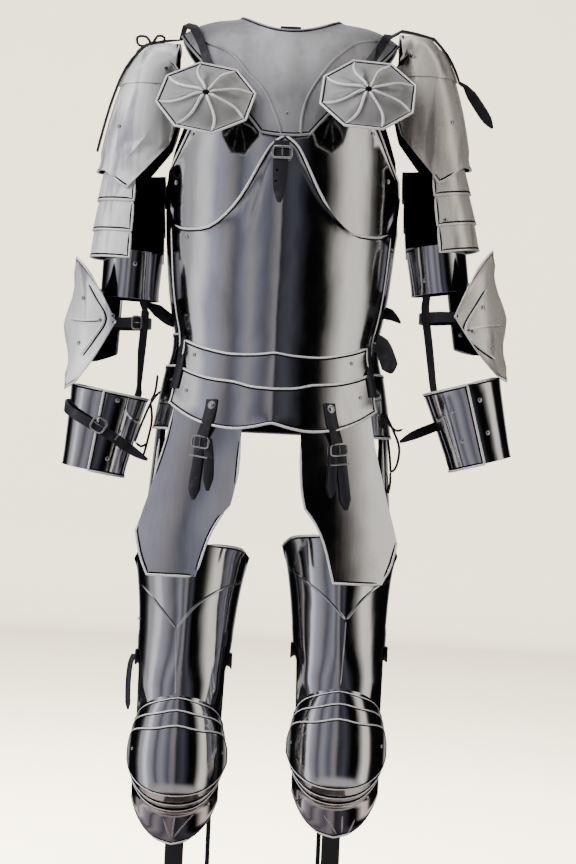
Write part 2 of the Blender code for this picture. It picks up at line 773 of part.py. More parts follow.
def pauldron_point(angle, z):
    centre = read(PAULDRON, "z", "centre", z)
    half = read(PAULDRON, "z", "half", z)
    deep = read(PAULDRON, "z", "deep", z)
    return Vector((centre + half * math.sin(angle), -deep * math.cos(angle), z))


def top_lame_point(s, t):
    """The shoulder's top: an arc round the arm's top, turning into an arc over the shoulder by the neck."""
    start = math.radians(read(PAULDRON, "z", "start", PAULDRON_TOP))
    angle = mix(start, math.pi - start, s)
    if t < PAULDRON_LAP:
        return pauldron_point(angle, mix(PAULDRON_TOP_FOOT, PAULDRON_TOP, t / PAULDRON_LAP))
    low = pauldron_point(angle, PAULDRON_TOP)
    share = (t - PAULDRON_LAP) / (1 - PAULDRON_LAP)
    over = mix(math.radians(-82), math.radians(82), s)
    crown = PAULDRON_CROWN - PAULDRON_NECK_FOOT
    high = Vector((PAULDRON_NECK, 0.060 * math.sin(over), PAULDRON_NECK_FOOT + crown * math.cos(over)))
    lifted = 0.018 * math.sin(math.pi * share) * math.sin(math.pi * s)
    spread = 0.008 * math.sin(math.pi * share) * math.sin(math.pi * s)
    return low.lerp(high, share) + Vector((spread, 0, lifted))


def make_pauldron(side, collection):
    put = sided(side)

    def main(s, t):
        top = PAULDRON_TOP
        z = mix(top, read(PAULDRON_FOOT, "u", "z", s), t)
        start = math.radians(read(PAULDRON, "z", "start", mix(top, 1.280, max(0.0, t - 0.08) / 0.92)))
        angle = mix(start, math.pi - start, s)
        return put(pauldron_point(angle, z))

    def top(s, t):
        return put(top_lame_point(s, t))

    def border(s, t):
        edge = s < 0.02 or s > 0.98
        return 0.0020 if t > 0.97 or (edge and t > 0.15) else 0.0

    along = [0.0, 0.08, 0.22, 0.40, 0.60, 0.80, 0.955, 1.0]
    hand = -1 if side == "right" else 1
    centre = line_centre(hand * 0.190, 0.0)
    shell(f"pauldron_main_{side}", main, PAULDRON_LINES, along, centre, collection, STEEL, 0.0, border)

    def under(point):
        return Vector((hand * 0.165, 0.0, 1.400))

    name = f"pauldron_top_{side}"
    along = [0.0, PAULDRON_LAP, 0.36, 0.60, 0.82, 1.0]
    shell(name, top, PAULDRON_LINES, along, under, collection, STEEL, STEP)


def arm_point(angle, down, half, deep, shift=0.0):
    """A point round the upper arm's axis, at a distance down it from the shoulder point."""
    axis = Vector((math.sin(ARM_LEAN), 0, -math.cos(ARM_LEAN)))
    side = Vector((math.cos(ARM_LEAN), 0, math.sin(ARM_LEAN)))
    middle = Vector(SHOULDER) + axis * down + side * shift
    return middle + side * (half * math.sin(angle)) + Vector((0, -deep * math.cos(angle), 0))


def make_arm_lames(side, collection):
    put = sided(side)
    hand = -1 if side == "right" else 1
    for lame in ARM_LAMES:

        def surface(s, t, lame=lame):
            angle = mix(LAME_START, LAME_END, s)
            half = mix(lame["wide"][0], lame["wide"][1], t**0.8)
            down = mix(lame["top"], lame["foot"], t)
            deep = mix(lame["deep"][0], lame["deep"][1], t)
            return put(arm_point(angle, down, half, deep), swing=True)

        name = f"arm_lame_{lame['name']}_{side}"
        centre = line_centre(hand * 0.204, 0.0)
        shell(name, surface, even(12), even(2), centre, collection, STEEL)


def make_cannon(side, collection):
    put = sided(side)
    hand = -1 if side == "right" else 1

    def surface(s, t):
        half = mix(CANNON_HALF[0], CANNON_HALF[1], t)
        deep = mix(CANNON_DEEP[0], CANNON_DEEP[1], t)
        shift = mix(CANNON_SHIFT[0], CANNON_SHIFT[1], t)
        down = mix(CANNON_TOP, CANNON_FOOT, t)
        return put(arm_point(2 * math.pi * s, down, half, deep, shift), swing=True)

    def roll(s, t):
        return 0.0018 if t > 0.95 else 0.0

    ring = [i / 14 for i in range(14)]
    centre = line_centre(hand * 0.211, 0.0)
    name = f"upper_cannon_{side}"
    shell(name, surface, ring, [0.0, 0.9, 1.0], centre, collection, STEEL, 0.0, roll, True)


def couter_point(s, t):
    x = read(COUTER, "u", "x", s)
    y = read(COUTER, "u", "y", s)
    flare = read(COUTER, "u", "flare", s)
    reach = mix(-1.0, 1.0, t)
    height = read(COUTER, "u", "up", s) if reach > 0 else read(COUTER, "u", "down", s)
    bow = abs(reach) ** 1.7 * flare
    ridge = COUTER_RIDGE * max(0.0, 1 - abs(reach) * 2.2) * math.sin(math.pi * min(1.0, s)) ** 2
    lean = -0.10 * reach * height
    away = Vector((x - 0.215, y * 1.1, 0)).normalized()
    return Vector((x + lean, y, COUTER_Z + reach * height)) + away * (bow + ridge)


def make_couter(side, collection):
    put = sided(side)
    hand = -1 if side == "right" else 1

    def surface(s, t):
        return put(couter_point(s, t), swing=True)

    def border(s, t):
        return 0.0020 if s < 0.42 and (t < 0.02 or t > 0.98) else 0.0

    across = [0.0, 0.07, 0.16, 0.25, 0.32, 0.39, 0.46, 0.55, 0.65, 0.76, 0.88, 1.0]
    along = [0.0, 0.06, 0.24, 0.40, 0.5, 0.60, 0.76, 0.94, 1.0]
    centre = line_centre(hand * 0.215, 0.0)
    shell(f"couter_{side}", surface, across, along, centre, collection, STEEL, 0.0, border)


def vambrace_point(angle, t, more=0.0):
    top = Vector(VAMBRACE_TOP)
    foot = Vector(VAMBRACE_FOOT)
    axis = (foot - top).normalized()
    side = Vector((-axis.z, 0, axis.x))
    half = mix(VAMBRACE_HALF[0], VAMBRACE_HALF[1], t) + more
    deep = mix(VAMBRACE_DEEP[0], VAMBRACE_DEEP[1], t) + more
    middle = top.lerp(foot, t)
    return middle + side * (half * math.sin(angle)) + Vector((0, -deep * math.cos(angle), 0))


def make_vambrace(side, collection):
    """Two half tubes: the inner half's front edge lies over the outer half, and they meet behind."""
    put = sided(side)
    hand = -1 if side == "right" else 1
    centre = line_centre(hand * 0.252, 0.0)

    def outer(s, t):
        angle = mix(-VAMBRACE_SEAM, math.pi + VAMBRACE_SEAM, s)
        return put(vambrace_point(angle, t), swing=True)

    def inner(s, t):
        angle = mix(-math.pi - VAMBRACE_SEAM * 0.3, 0.35 * VAMBRACE_SEAM, s)
        return put(vambrace_point(angle, t), swing=True)

    def roll(s, t):
        return 0.0016 if t < 0.03 or t > 0.97 else 0.0

    along = [0.0, 0.06, 0.94, 1.0]
    shell(f"vambrace_outer_{side}", outer, even(8), along, centre, collection, STEEL, 0.0, roll)
    shell(f"vambrace_inner_{side}", inner, even(8), along, centre, collection, STEEL, VAMBRACE_LAP, roll)


def knee_profile(share, layer):
    """Half width and radius of the knee's barrel at a share from the ridge (0) to the side (1)."""
    half = KNEE_HALF - layer * STEP
    radius = KNEE_RADIUS - layer * STEP
    turn = abs(share) * math.pi / 2 * KNEE_REACH
    x = half * math.sin(turn) ** (2 / KNEE_SQUARE)
    r = radius * math.cos(turn) ** (2 / KNEE_SQUARE)
    return x, r * (1 - KNEE_RIDGE * x / half)


def knee_point(side, share, layer, degrees):
    """A point of the knee's barrel, by share across it and by degrees above its axis."""
    hand = -1 if side == "right" else 1
    x, r = knee_profile(share, layer)
    angle = math.radians(degrees)
    x = x if share >= 0 else -x
    y = KNEE[1] - r * math.cos(angle)
    z = KNEE[2] + LEG_RISE[side] + r * math.sin(angle)
    return Vector((hand * KNEE[0] + x, y, z))


def knee_spread(share):
    """How far a plate's edge has gone from its ridge angle to its side angle."""
    return min(1.0, abs(share) * 1.15) ** 2


def knee_shares(reach):
    """Shares across a plate that goes out to reach, one at each of the knee's edge lines."""
    lines = [line / reach for line in KNEE_LINES if line < reach - 0.01]
    right = [0.5 - 0.5 * line for line in lines]
    left = [0.5 + 0.5 * line for line in lines]
    return sorted(set([0.0] + right + left + [1.0]))


def make_knee(side, collection):
    hand = -1 if side == "right" else 1

    def centre(point):
        return Vector((hand * KNEE[0], KNEE[1], KNEE[2] + LEG_RISE[side]))

    for plate in KNEE_PLATES:

        def surface(s, t, plate=plate):
            share = 2 * s - 1
            spread = knee_spread(share)
            top = mix(plate["top"][0], plate["top"][1], spread)
            foot = mix(plate["foot"][0], plate["foot"][1], spread)
            if plate["top"][0] > 0:
                top += math.degrees(KNEE_CUSP / KNEE_RADIUS) * max(0.0, 1 - abs(share) * 5)
            return knee_point(side, share, plate["layer"], mix(foot, top, t))

        name = f"{plate['name']}_{side}"
        rows = even(plate["rows"])
        shell(name, surface, knee_shares(1.0), rows, centre, collection, STEEL)

    def greave(s, t):
        share = (2 * s - 1) * GREAVE_WIDE
        if t <= 0.4:
            degrees = mix(-GREAVE_TOP, -GREAVE_BEND, t / 0.4)
            return knee_point(side, share, GREAVE_LAYER, degrees)
        start = knee_point(side, share, GREAVE_LAYER, -GREAVE_BEND)
        lift = GREAVE_CUT * abs(2 * s - 1) ** 1.5
        floor = KNEE[2] + LEG_RISE[side] - GREAVE_DROP + lift
        z = mix(start.z, min(floor, start.z - 0.004), (t - 0.4) / 0.6)
        return Vector((start.x, start.y - 0.12 * (start.z - z), z))

    def roll(s, t):
        return 0.0018 if t > 0.98 else 0.0

    sweep = knee_shares(GREAVE_WIDE)
    along = [0.0, 0.13, 0.26, 0.4, 0.66, 0.94, 1.0]
    shell(f"demi_greave_{side}", greave, sweep, along, centre, collection, STEEL, 0.0, roll)


def cuisse_point(side, share, t):
    """The thigh plate: its foot lies on the knee's barrel, and its upper part wraps the thigh."""
    hand = -1 if side == "right" else 1
    outer = share * hand
    if t <= 0.2:
        degrees = mix(CUISSE_FOOT, CUISSE_HEM + CUISSE_RISE * knee_spread(share), t / 0.2)
        return knee_point(side, share * CUISSE_WIDE, GREAVE_LAYER, degrees)
    base = KNEE[2] + LEG_RISE[side]
    crest = read(CUISSE_CREST, "u", "rise", outer)
    rise = mix(CUISSE[0]["rise"], crest, (t - 0.2) / 0.8)
    angle = share * math.radians(104)
    middle = read(CUISSE, "rise", "centre", rise)
    half = read(CUISSE, "rise", "half", rise)
    front = read(CUISSE, "rise", "front", rise)
    back = read(CUISSE, "rise", "back", rise)
    keel = CUISSE_KEEL * max(0.0, 1 - abs(share) * 2.4)
    y = 0.006 - front * math.cos(angle) - keel
    if math.cos(angle) < 0:
        y = 0.006 - back * math.cos(angle) * 2
    thigh = Vector((hand * middle + half * math.sin(angle), y, base + rise))
    if t >= 0.36:
        return thigh
    knee = knee_point(side, share * CUISSE_WIDE, GREAVE_LAYER, CUISSE_HEM + CUISSE_RISE * knee_spread(share))
    blend = (t - 0.2) / 0.16
    blend = blend * blend * (3 - 2 * blend)
    lifted = Vector((knee.x, knee.y + (knee.z - thigh.z) * 0.2, thigh.z))
    if thigh.z < knee.z + 0.006:
        lifted.z = knee.z + 0.10 * (t - 0.2)
    return lifted.lerp(thigh, blend)


def make_cuisse(side, collection):
    hand = -1 if side == "right" else 1

    def surface(s, t):
        return cuisse_point(side, 2 * s - 1, t)

    def raised(s, t):
        point = cuisse_point(side, 2 * s - 1, t)
        line = read(CUISSE_FLUTE, "u", "rise", 2 * s - 1)
        above = point.z - KNEE[2] - LEG_RISE[side] - line
        border = 0.0020 if t > 0.98 else 0.0
        return border + CUISSE_STEP * min(1.0, max(0.0, above / 0.006))

    across = knee_shares(CUISSE_WIDE)
    along = [0.0, 0.07, 0.14, 0.2, 0.28, 0.36, 0.48, 0.58, 0.66, 0.74, 0.84, 0.97, 1.0]
    centre = line_centre(hand * 0.104, 0.03)
    shell(f"cuisse_{side}", surface, across, along, centre, collection, STEEL, 0.0, raised)


def ribbon(name, places, collection, look=BLACK_LEATHER, thick=LEATHER):
    """A strap: centre points with the side direction and width at each, swept as a flat band."""
    points = []
    count = len(places)
    for index, (centre, side, width) in enumerate(places):
        before = places[max(index - 1, 0)][0]
        after = places[min(index + 1, count - 1)][0]
        along = (after - before).normalized()
        across = (side - along * side.dot(along)).normalized()
        up = across.cross(along).normalized()
        for sign_side, sign_up in ((-1, -1), (1, -1), (1, 1), (-1, 1)):
            points.append(centre + across * (sign_side * width / 2) + up * (sign_up * thick / 2))
    faces = [(3, 2, 1, 0)]
    for index in range(count - 1):
        for corner in range(4):
            one = index * 4 + corner
            two = index * 4 + (corner + 1) % 4
            faces.append((one, two, two + 4, one + 4))
    last = 4 * (count - 1)
    faces.append((last, last + 1, last + 2, last + 3))
    item = add_mesh(name, points, faces, look, collection)
    solid = bmesh.new()
    solid.from_mesh(item.data)
    bmesh.ops.recalc_face_normals(solid, faces=solid.faces)
    solid.to_mesh(item.data)
    solid.free()
    return item


def on_torso(x, z, out, keel=KEEL):
    """A point out from the trunk's front, by its place from the front."""

    def surface(s, t):
        return torso_point(mix(-1.2, 1.2, s), mix(0.93, 1.47, t), keel)

    half = read(TORSO, "z", "half", z)
    angle = math.asin(max(-0.98, min(0.98, x / (half + out))))
    return outward(surface, (angle + 1.2) / 2.4, (z - 0.93) / 0.54, line_centre(), out)


def make_chest_strap(collection):
    """The strap that buckles the plackart's point to the breastplate, hanging on the plackart's ridge."""
    out = LAYER["plackart"] + PLATE + LEATHER / 2 + SEAT + 0.0002
    places = []
    for row in CHEST_STRAP:
        centre = on_torso(0.0, row["z"], 0.0) + Vector((-0.004, -(out + row["clear"]), 0))
        places.append((centre, Vector((1, 0, 0)), row["width"]))
    ribbon("chest_strap", places, collection)


def make_tasset_strap(side, collection):
    """A strap from the lower fauld lame down over the tasset, with its free end."""
    hand = -1 if side == "right" else 1
    places = []
    for x, z, y_out, width in (
        (0.0790, 0.992, LAYER["fauld_lower"] + PLATE, 0.016),
        (0.0820, 0.972, LAYER["fauld_lower"] + PLATE + 0.0006, 0.017),
        (0.0850, 0.953, LAYER["fauld_lower"] + PLATE + 0.0032, 0.022),
        (0.0880, 0.930, 0.0075, 0.024),
        (0.0900, 0.905, 0.0060, 0.024),
        (0.0930, 0.880, 0.0050, 0.021),
        (0.0960, 0.862, 0.0045, 0.006),
    ):
        trio = []
        for shift in (0.0, -0.004, 0.004):
            if z > 0.95:
                point = on_torso(x + shift, z, y_out + LEATHER / 2 + SEAT, KEEL)
            else:
                point = tasset_front_at(x + shift, z) + Vector((0, -(y_out + LEATHER / 2), 0))
            point.x *= hand
            trio.append(point)
        places.append((trio[0], (trio[2] - trio[1]) * hand, width))
    ribbon(f"tasset_strap_{side}", places, collection)


def tasset_front_at(x, z):
    """The tasset's inner face at a place from the front."""
    t = (TASSET_TOP + 0.004 - z) / (TASSET_TOP + 0.004 - TASSET_FOOT)
    layer = LAYER["tasset"]
    angle = math.asin(min(0.98, x / (read(TORSO, "z", "half", TASSET_TOP) + layer)))
    hung = torso_point(angle, TASSET_TOP, KEEL)
    top = hung.y * (1 + layer / Vector((hung.x, hung.y)).length)
    foot = -TASSET_REACH + (x - 0.118) ** 2 / (2 * TASSET_ROUND)
    return Vector((x, mix(top, foot, 1 - (1 - t) ** 1.6), z))


def make_pauldron_strap(side, collection):
    """The besagew's strap: up over the gorget and the pauldron, and down outside as a free end."""
    put = sided(side)
    hand = -1 if side == "right" else 1
    places = []
    disc = put(BESAGEW_PLACE, BESAGEW_RISE)
    lean = Matrix.Rotation(-BESAGEW_LEAN, 3, "X")
    for y, z in ((-0.0080, -0.003), (-0.0050, 0.011), (0.0002, 0.028), (0.0022, 0.048), (0.0060, 0.066)):
        places.append((disc + lean @ Vector((0, y, z)), Vector((1, 0, 0)), 0.013))
    gorget_out = STEP + PLATE + SEAT + LEATHER / 2
    turns = ((62, 0.84, 1.0, -0.4), (73, 0.78, 1.0, -0.35), (83, 0.76, 1.0, 0.5), (91, 0.84, 0.2, 1.0))
    for bearing, share, side_out, side_front in turns:

        def surface(s, t):
            return gorget_point(math.radians(mix(40, 92, s)), t)

        bridge = 0.0080 if bearing > 85 else 0.0020
        point = outward(surface, (bearing - 40) / 52, share, gorget_centre, gorget_out + bridge)
        turn = math.radians(bearing)
        slope = gorget_point(turn, share + 0.04) - gorget_point(turn, share - 0.04)
        tilt = slope.z / max(0.001, slope.x)
        point.x *= hand
        places.append((point, Vector((side_out, -hand * side_front, hand * side_out * tilt)), 0.012))
    lame_out = STEP + PLATE + SEAT + LEATHER / 2

    def crown(s, t):
        return put(top_lame_point(s, t))

    def under(point):
        return Vector((hand * 0.165, 0.0, 1.400))

    for share, along in ((0.5, 1.0), (0.5, 0.82), (0.5, 0.60), (0.5, 0.36), (0.5, 0.16), (0.5, 0.0)):
        clear = 0.0040 if along > 0.9 else 0.0005
        point = outward(crown, share, along, under, lame_out + clear)
        places.append((point, Vector((0, -hand, 0)), 0.013))
    for row in SHOULDER_END[side]:
        turned = Vector((0, -hand, 0)).lerp(Vector((-0.82 * hand, 0, -0.57)), row["twist"])
        places.append((put((row["x"] + 0.0035, -0.002, row["z"])), turned, row["width"]))
    ribbon(f"pauldron_strap_{side}", places, collection)


def make_elbow_strap(side, collection, helpers):
    """The couter's strap round the inner elbow, with the leather that hangs the vambrace from the cannon."""
    put = sided(side)
    hand = -1 if side == "right" else 1

    def wing(s, t):
        return put(couter_point(s, t), swing=True)

    centre = line_centre(hand * 0.215, 0.0)
    upright = Vector((0, 0, 1))
    under = -2 * SEAT - LEATHER / 2
    places = [(outward(wing, 0.10, 0.5, centre, under), upright, 0.012)]
    places.append((outward(wing, 0.03, 0.5, centre, under), upright, 0.012))
    for x, y in ELBOW_LOOP:
        places.append((put((x, y, COUTER_Z), swing=True), upright, 0.014))
    places.append((outward(wing, 0.97, 0.5, centre, under), upright, 0.012))
    places.append((outward(wing, 0.88, 0.5, centre, under), upright, 0.012))
    strap = ribbon(f"elbow_strap_{side}", places, collection)
    places = []
    inset = SEAT + LEATHER / 2 + 0.0013
    for down in (CANNON_FOOT - 0.016, CANNON_FOOT - 0.001, CANNON_FOOT + 0.006):
        trio = []
        for turn in (-38.6, -42.6, -34.6):
            share = min(1.0, (down - CANNON_TOP) / (CANNON_FOOT - CANNON_TOP))
            half = mix(CANNON_HALF[0], CANNON_HALF[1], share) - inset
            deep = mix(CANNON_DEEP[0], CANNON_DEEP[1], share) - inset
            shift = mix(CANNON_SHIFT[0], CANNON_SHIFT[1], share)
            trio.append(put(arm_point(math.radians(turn), down, half, deep, shift), swing=True))
        places.append((trio[0], trio[2] - trio[1], 0.012))
    for x, y, z in ELBOW_LINK:
        places.append((put((x, y, z), swing=True), Vector((1, -hand * 0.9, 0)), 0.012))
    for along in (-0.05, 0.02, 0.16):
        trio = []
        for turn in (-55, -59, -51):
            trio.append(put(vambrace_point(math.radians(turn), along, VAMBRACE_LAP - inset), swing=True))
        places.append((trio[0], trio[2] - trio[1], 0.012))
    link = ribbon(f"elbow_link_{side}", places, helpers)
    link.hide_render = True
    link.display_type = "WIRE"
    weld = strap.modifiers.new("link", "BOOLEAN")
    weld.operation = "UNION"
    weld.object = link


def make_vambrace_strap(side, collection):
    """Across the right vambrace's front or round the left one's back, with its free end standing off."""
    put = sided(side)
    run = VAMBRACE_STRAP[side]
    places = []
    more = VAMBRACE_LAP + PLATE + LEATHER / 2 + SEAT + 0.0007

    def place(degrees, t, out, width):
        angle = math.radians(degrees)
        point = put(vambrace_point(angle, t, out), swing=True)
        above = put(vambrace_point(angle, t - 0.1, out), swing=True)
        places.append((point, above - point, width))

    for step in even(14 if side == "right" else 8):
        t = mix(run["high"], run["low"], step ** run["curve"])
        place(mix(run["first"], run["last"], step), t, more, 0.013)
    for row in VAMBRACE_STRAP_END[side]:
        place(row["degrees"], row["along"], more + row["clear"], row["width"])
    ribbon(f"vambrace_strap_{side}", places, collection)


def make_cuisse_strap(side, collection):
    """Round the back of the thigh and the stand's post, from one edge of the cuisse to the other."""
    hand = -1 if side == "right" else 1
    base = KNEE[2] + LEG_RISE[side] + 0.135
    middle = hand * 0.1055
    half = 0.0650
    places = []
    back = POST_Y + POST / 2 + SEAT + LEATHER / 2
    outline = ((0.0, back), (0.22, back), (0.62, 0.061), (0.90, 0.042), (1.0, 0.014), (1.0, -0.005))
    outline = tuple((-share, y) for share, y in reversed(outline[1:])) + outline
    for share, y in outline:
        places.append((Vector((middle + half * share, y, base)), Vector((0, 0, 1)), 0.020))
    ribbon(f"cuisse_strap_{side}", places, collection)


def box(name, low, high, collection):
    """A plain block between two corners."""
    bpy.ops.mesh.primitive_cube_add(size=1.0)
    item = bpy.context.active_object
    item.name = name
    size = Vector(high) - Vector(low)
    item.data.transform(Matrix.Diagonal((size.x, size.y, size.z, 1.0)))
    item.data.transform(Matrix.Translation((Vector(high) + Vector(low)) / 2))
    for holder in list(item.users_collection):
        holder.objects.unlink(item)
    collection.objects.link(item)
    return item


def welded(base, pieces):
    """Joins helper blocks into a block of the stand."""
    base.data.materials.append(finish_material("stand", BLACK_PAINT))
    for piece in pieces:
        piece.hide_render = True
        piece.display_type = "WIRE"
        weld = base.modifiers.new(piece.name, "BOOLEAN")
        weld.operation = "UNION"
        weld.object = piece


def make_stand(collection, helpers):
    """The legs with their base plate, and the frame that stands on them: hip bar, spine and shoulder bar."""
    half = POST / 2
    wide, deep, thick = BASE_SIZE
    legs = box("stand_legs", (-wide / 2, -deep / 2, 0.0), (wide / 2, deep / 2, thick), collection)
    leg = KNEE[0]
    posts = []
    for name, x in (("post_right", -leg), ("post_left", leg)):
        low = (x - half, POST_Y - half, thick / 2)
        high = (x + half, POST_Y + half, HIP_Z - POST - SEAM)
        posts.append(box(name, low, high, helpers))
    welded(legs, posts)
    low = (-leg - half, POST_Y - half, HIP_Z - POST)
    frame = box("stand_frame", low, (leg + half, POST_Y + half, HIP_Z), collection)
    bars = []
    low = (-half * 0.98, POST_Y - half * 0.98, HIP_Z - POST / 2)
    bars.append(box("spine_low", low, (half * 0.98, POST_Y + half * 0.98, 1.20), helpers))
    low = (-half * 0.96, 0.0, 1.175)
    bars.append(box("spine_joint", low, (half * 0.96, POST_Y + half * 0.96, 1.199), helpers))
    low = (-0.0140, -0.0125, 1.176)
    bars.append(box("spine", low, (0.0140, 0.0125, SPINE_TOP), helpers))
    low = (-YOKE_HALF, -0.0110, YOKE_Z - 0.022)
    bars.append(box("yoke", low, (YOKE_HALF, 0.0110, YOKE_Z), helpers))
    welded(frame, bars)


def main():
    clear_scene()
    suit = new_collection("suit_of_plate_armour")
    helpers = new_collection("helpers")
    make_stand(suit, helpers)
    make_backplate(suit)
    make_breastplate(suit)
    make_plackart(suit)
    make_fauld(suit)
    make_gorget(suit)
    make_chest_strap(suit)
    for side in ("right", "left"):
        make_tassets(side, suit)
        make_tasset_strap(side, suit)
        make_besagew(side, suit)
        make_pauldron(side, suit)
        make_pauldron_strap(side, suit)
        make_arm_lames(side, suit)
        make_cannon(side, suit)
        make_couter(side, suit)
        make_elbow_strap(side, suit, helpers)
        make_vambrace(side, suit)
        make_vambrace_strap(side, suit)
        make_cuisse(side, suit)
        make_cuisse_strap(side, suit)
        make_knee(side, suit)


main()
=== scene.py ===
"""Looks of a suit of plate armour that hangs empty on a plain black floor stand.

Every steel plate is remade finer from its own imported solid, with softened edges and a raised border where its border
shows. Straps are remade the same way in leather. Rivets, buckles, ribs, laces and thongs are added to them.
The suit faces -Y. "right" is the wearer's right, at -X.
"""

import json
import logging
import math
from dataclasses import dataclass
from enum import Enum
from typing import ClassVar

import bmesh
import bpy
from mathutils import Matrix, Vector
from mathutils.bvhtree import BVHTree

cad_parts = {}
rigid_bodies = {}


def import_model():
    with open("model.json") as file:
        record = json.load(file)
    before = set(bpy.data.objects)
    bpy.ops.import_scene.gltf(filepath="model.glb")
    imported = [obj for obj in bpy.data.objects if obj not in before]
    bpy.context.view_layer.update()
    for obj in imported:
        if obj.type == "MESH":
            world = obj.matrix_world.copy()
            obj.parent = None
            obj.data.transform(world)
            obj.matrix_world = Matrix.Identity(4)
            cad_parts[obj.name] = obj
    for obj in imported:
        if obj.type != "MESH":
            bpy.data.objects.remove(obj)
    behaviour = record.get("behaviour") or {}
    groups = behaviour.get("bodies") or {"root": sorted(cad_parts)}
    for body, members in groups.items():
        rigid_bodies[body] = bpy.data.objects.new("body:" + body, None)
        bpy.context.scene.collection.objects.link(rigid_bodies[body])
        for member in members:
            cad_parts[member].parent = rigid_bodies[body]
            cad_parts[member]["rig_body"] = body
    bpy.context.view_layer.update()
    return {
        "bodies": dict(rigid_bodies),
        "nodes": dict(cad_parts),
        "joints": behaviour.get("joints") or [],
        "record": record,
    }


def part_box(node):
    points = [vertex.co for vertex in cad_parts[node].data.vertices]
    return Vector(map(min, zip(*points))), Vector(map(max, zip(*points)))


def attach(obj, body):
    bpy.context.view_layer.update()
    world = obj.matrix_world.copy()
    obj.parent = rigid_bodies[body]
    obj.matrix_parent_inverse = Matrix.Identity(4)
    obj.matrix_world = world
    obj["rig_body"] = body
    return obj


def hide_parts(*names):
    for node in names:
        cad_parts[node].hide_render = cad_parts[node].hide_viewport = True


LOG = logging.getLogger("armour")
MM = 0.001
WALL = 1.5 * MM

Triple = tuple[float, float, float]
Mark = tuple[float, float]
Marks = list[Mark]


class Side(Enum):
    """A side of the suit, as its wearer would name it."""

    RIGHT = -1
    LEFT = 1

    @property
    def word(self) -> str:
        """The side's name as it stands in the nodes' names."""
        return self.name.lower()


class Slot(Enum):
    """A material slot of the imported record."""

    STEEL = "steel"
    DULL_STEEL = "dull_steel"
    LEATHER = "leather"
    STAND = "stand"


# Shader maths


class Value:
    """A number of a shader, from a socket or fixed, that adds Math nodes when it is used in an expression."""

    def __init__(self, graph: "Graph", source: bpy.types.NodeSocket | float) -> None:
        """Wraps a source.

        Args:
            graph: The node tree that new nodes go into.
            source: An output socket, or a fixed number.
        """
        self.graph = graph
        self.source = source

    def maths(self, operation: str, *others: "Value | float") -> "Value":
        """Adds one Math node.

        Args:
            operation: The node's operation.
            others: Its second and third values.

        Returns:
            The node's result.
        """
        inputs = {0: self, **{place + 1: other for place, other in enumerate(others)}}
        node = self.graph.node("ShaderNodeMath", {"operation": operation}, inputs)
        return Value(self.graph, node.outputs[0])

    def __add__(self, other: "Value | float") -> "Value":
        """The sum."""
        return self.maths("ADD", other)

    def __sub__(self, other: "Value | float") -> "Value":
        """The difference."""
        return self.maths("SUBTRACT", other)

    def __mul__(self, other: "Value | float") -> "Value":
        """The product."""
        return self.maths("MULTIPLY", other)

    def __radd__(self, other: float) -> "Value":
        """The sum with a number in front."""
        return Value(self.graph, other).maths("ADD", self)

    def __rsub__(self, other: float) -> "Value":
        """The difference from a number in front."""
        return Value(self.graph, other).maths("SUBTRACT", self)

    def __rmul__(self, other: float) -> "Value":
        """The product with a number in front."""
        return Value(self.graph, other).maths("MULTIPLY", self)

    def step(self, low: float, high: float) -> "Value":
        """A smooth rise from 0 at low to 1 at high.

        Args:
            low: Where the rise starts.
            high: Where it ends.

        Returns:
            The share between 0 and 1.
        """
        settings = {"interpolation_type": "SMOOTHSTEP"}
        node = self.graph.node("ShaderNodeMapRange", settings, {"Value": self, "From Min": low, "From Max": high})
        return Value(self.graph, node.outputs["Result"])


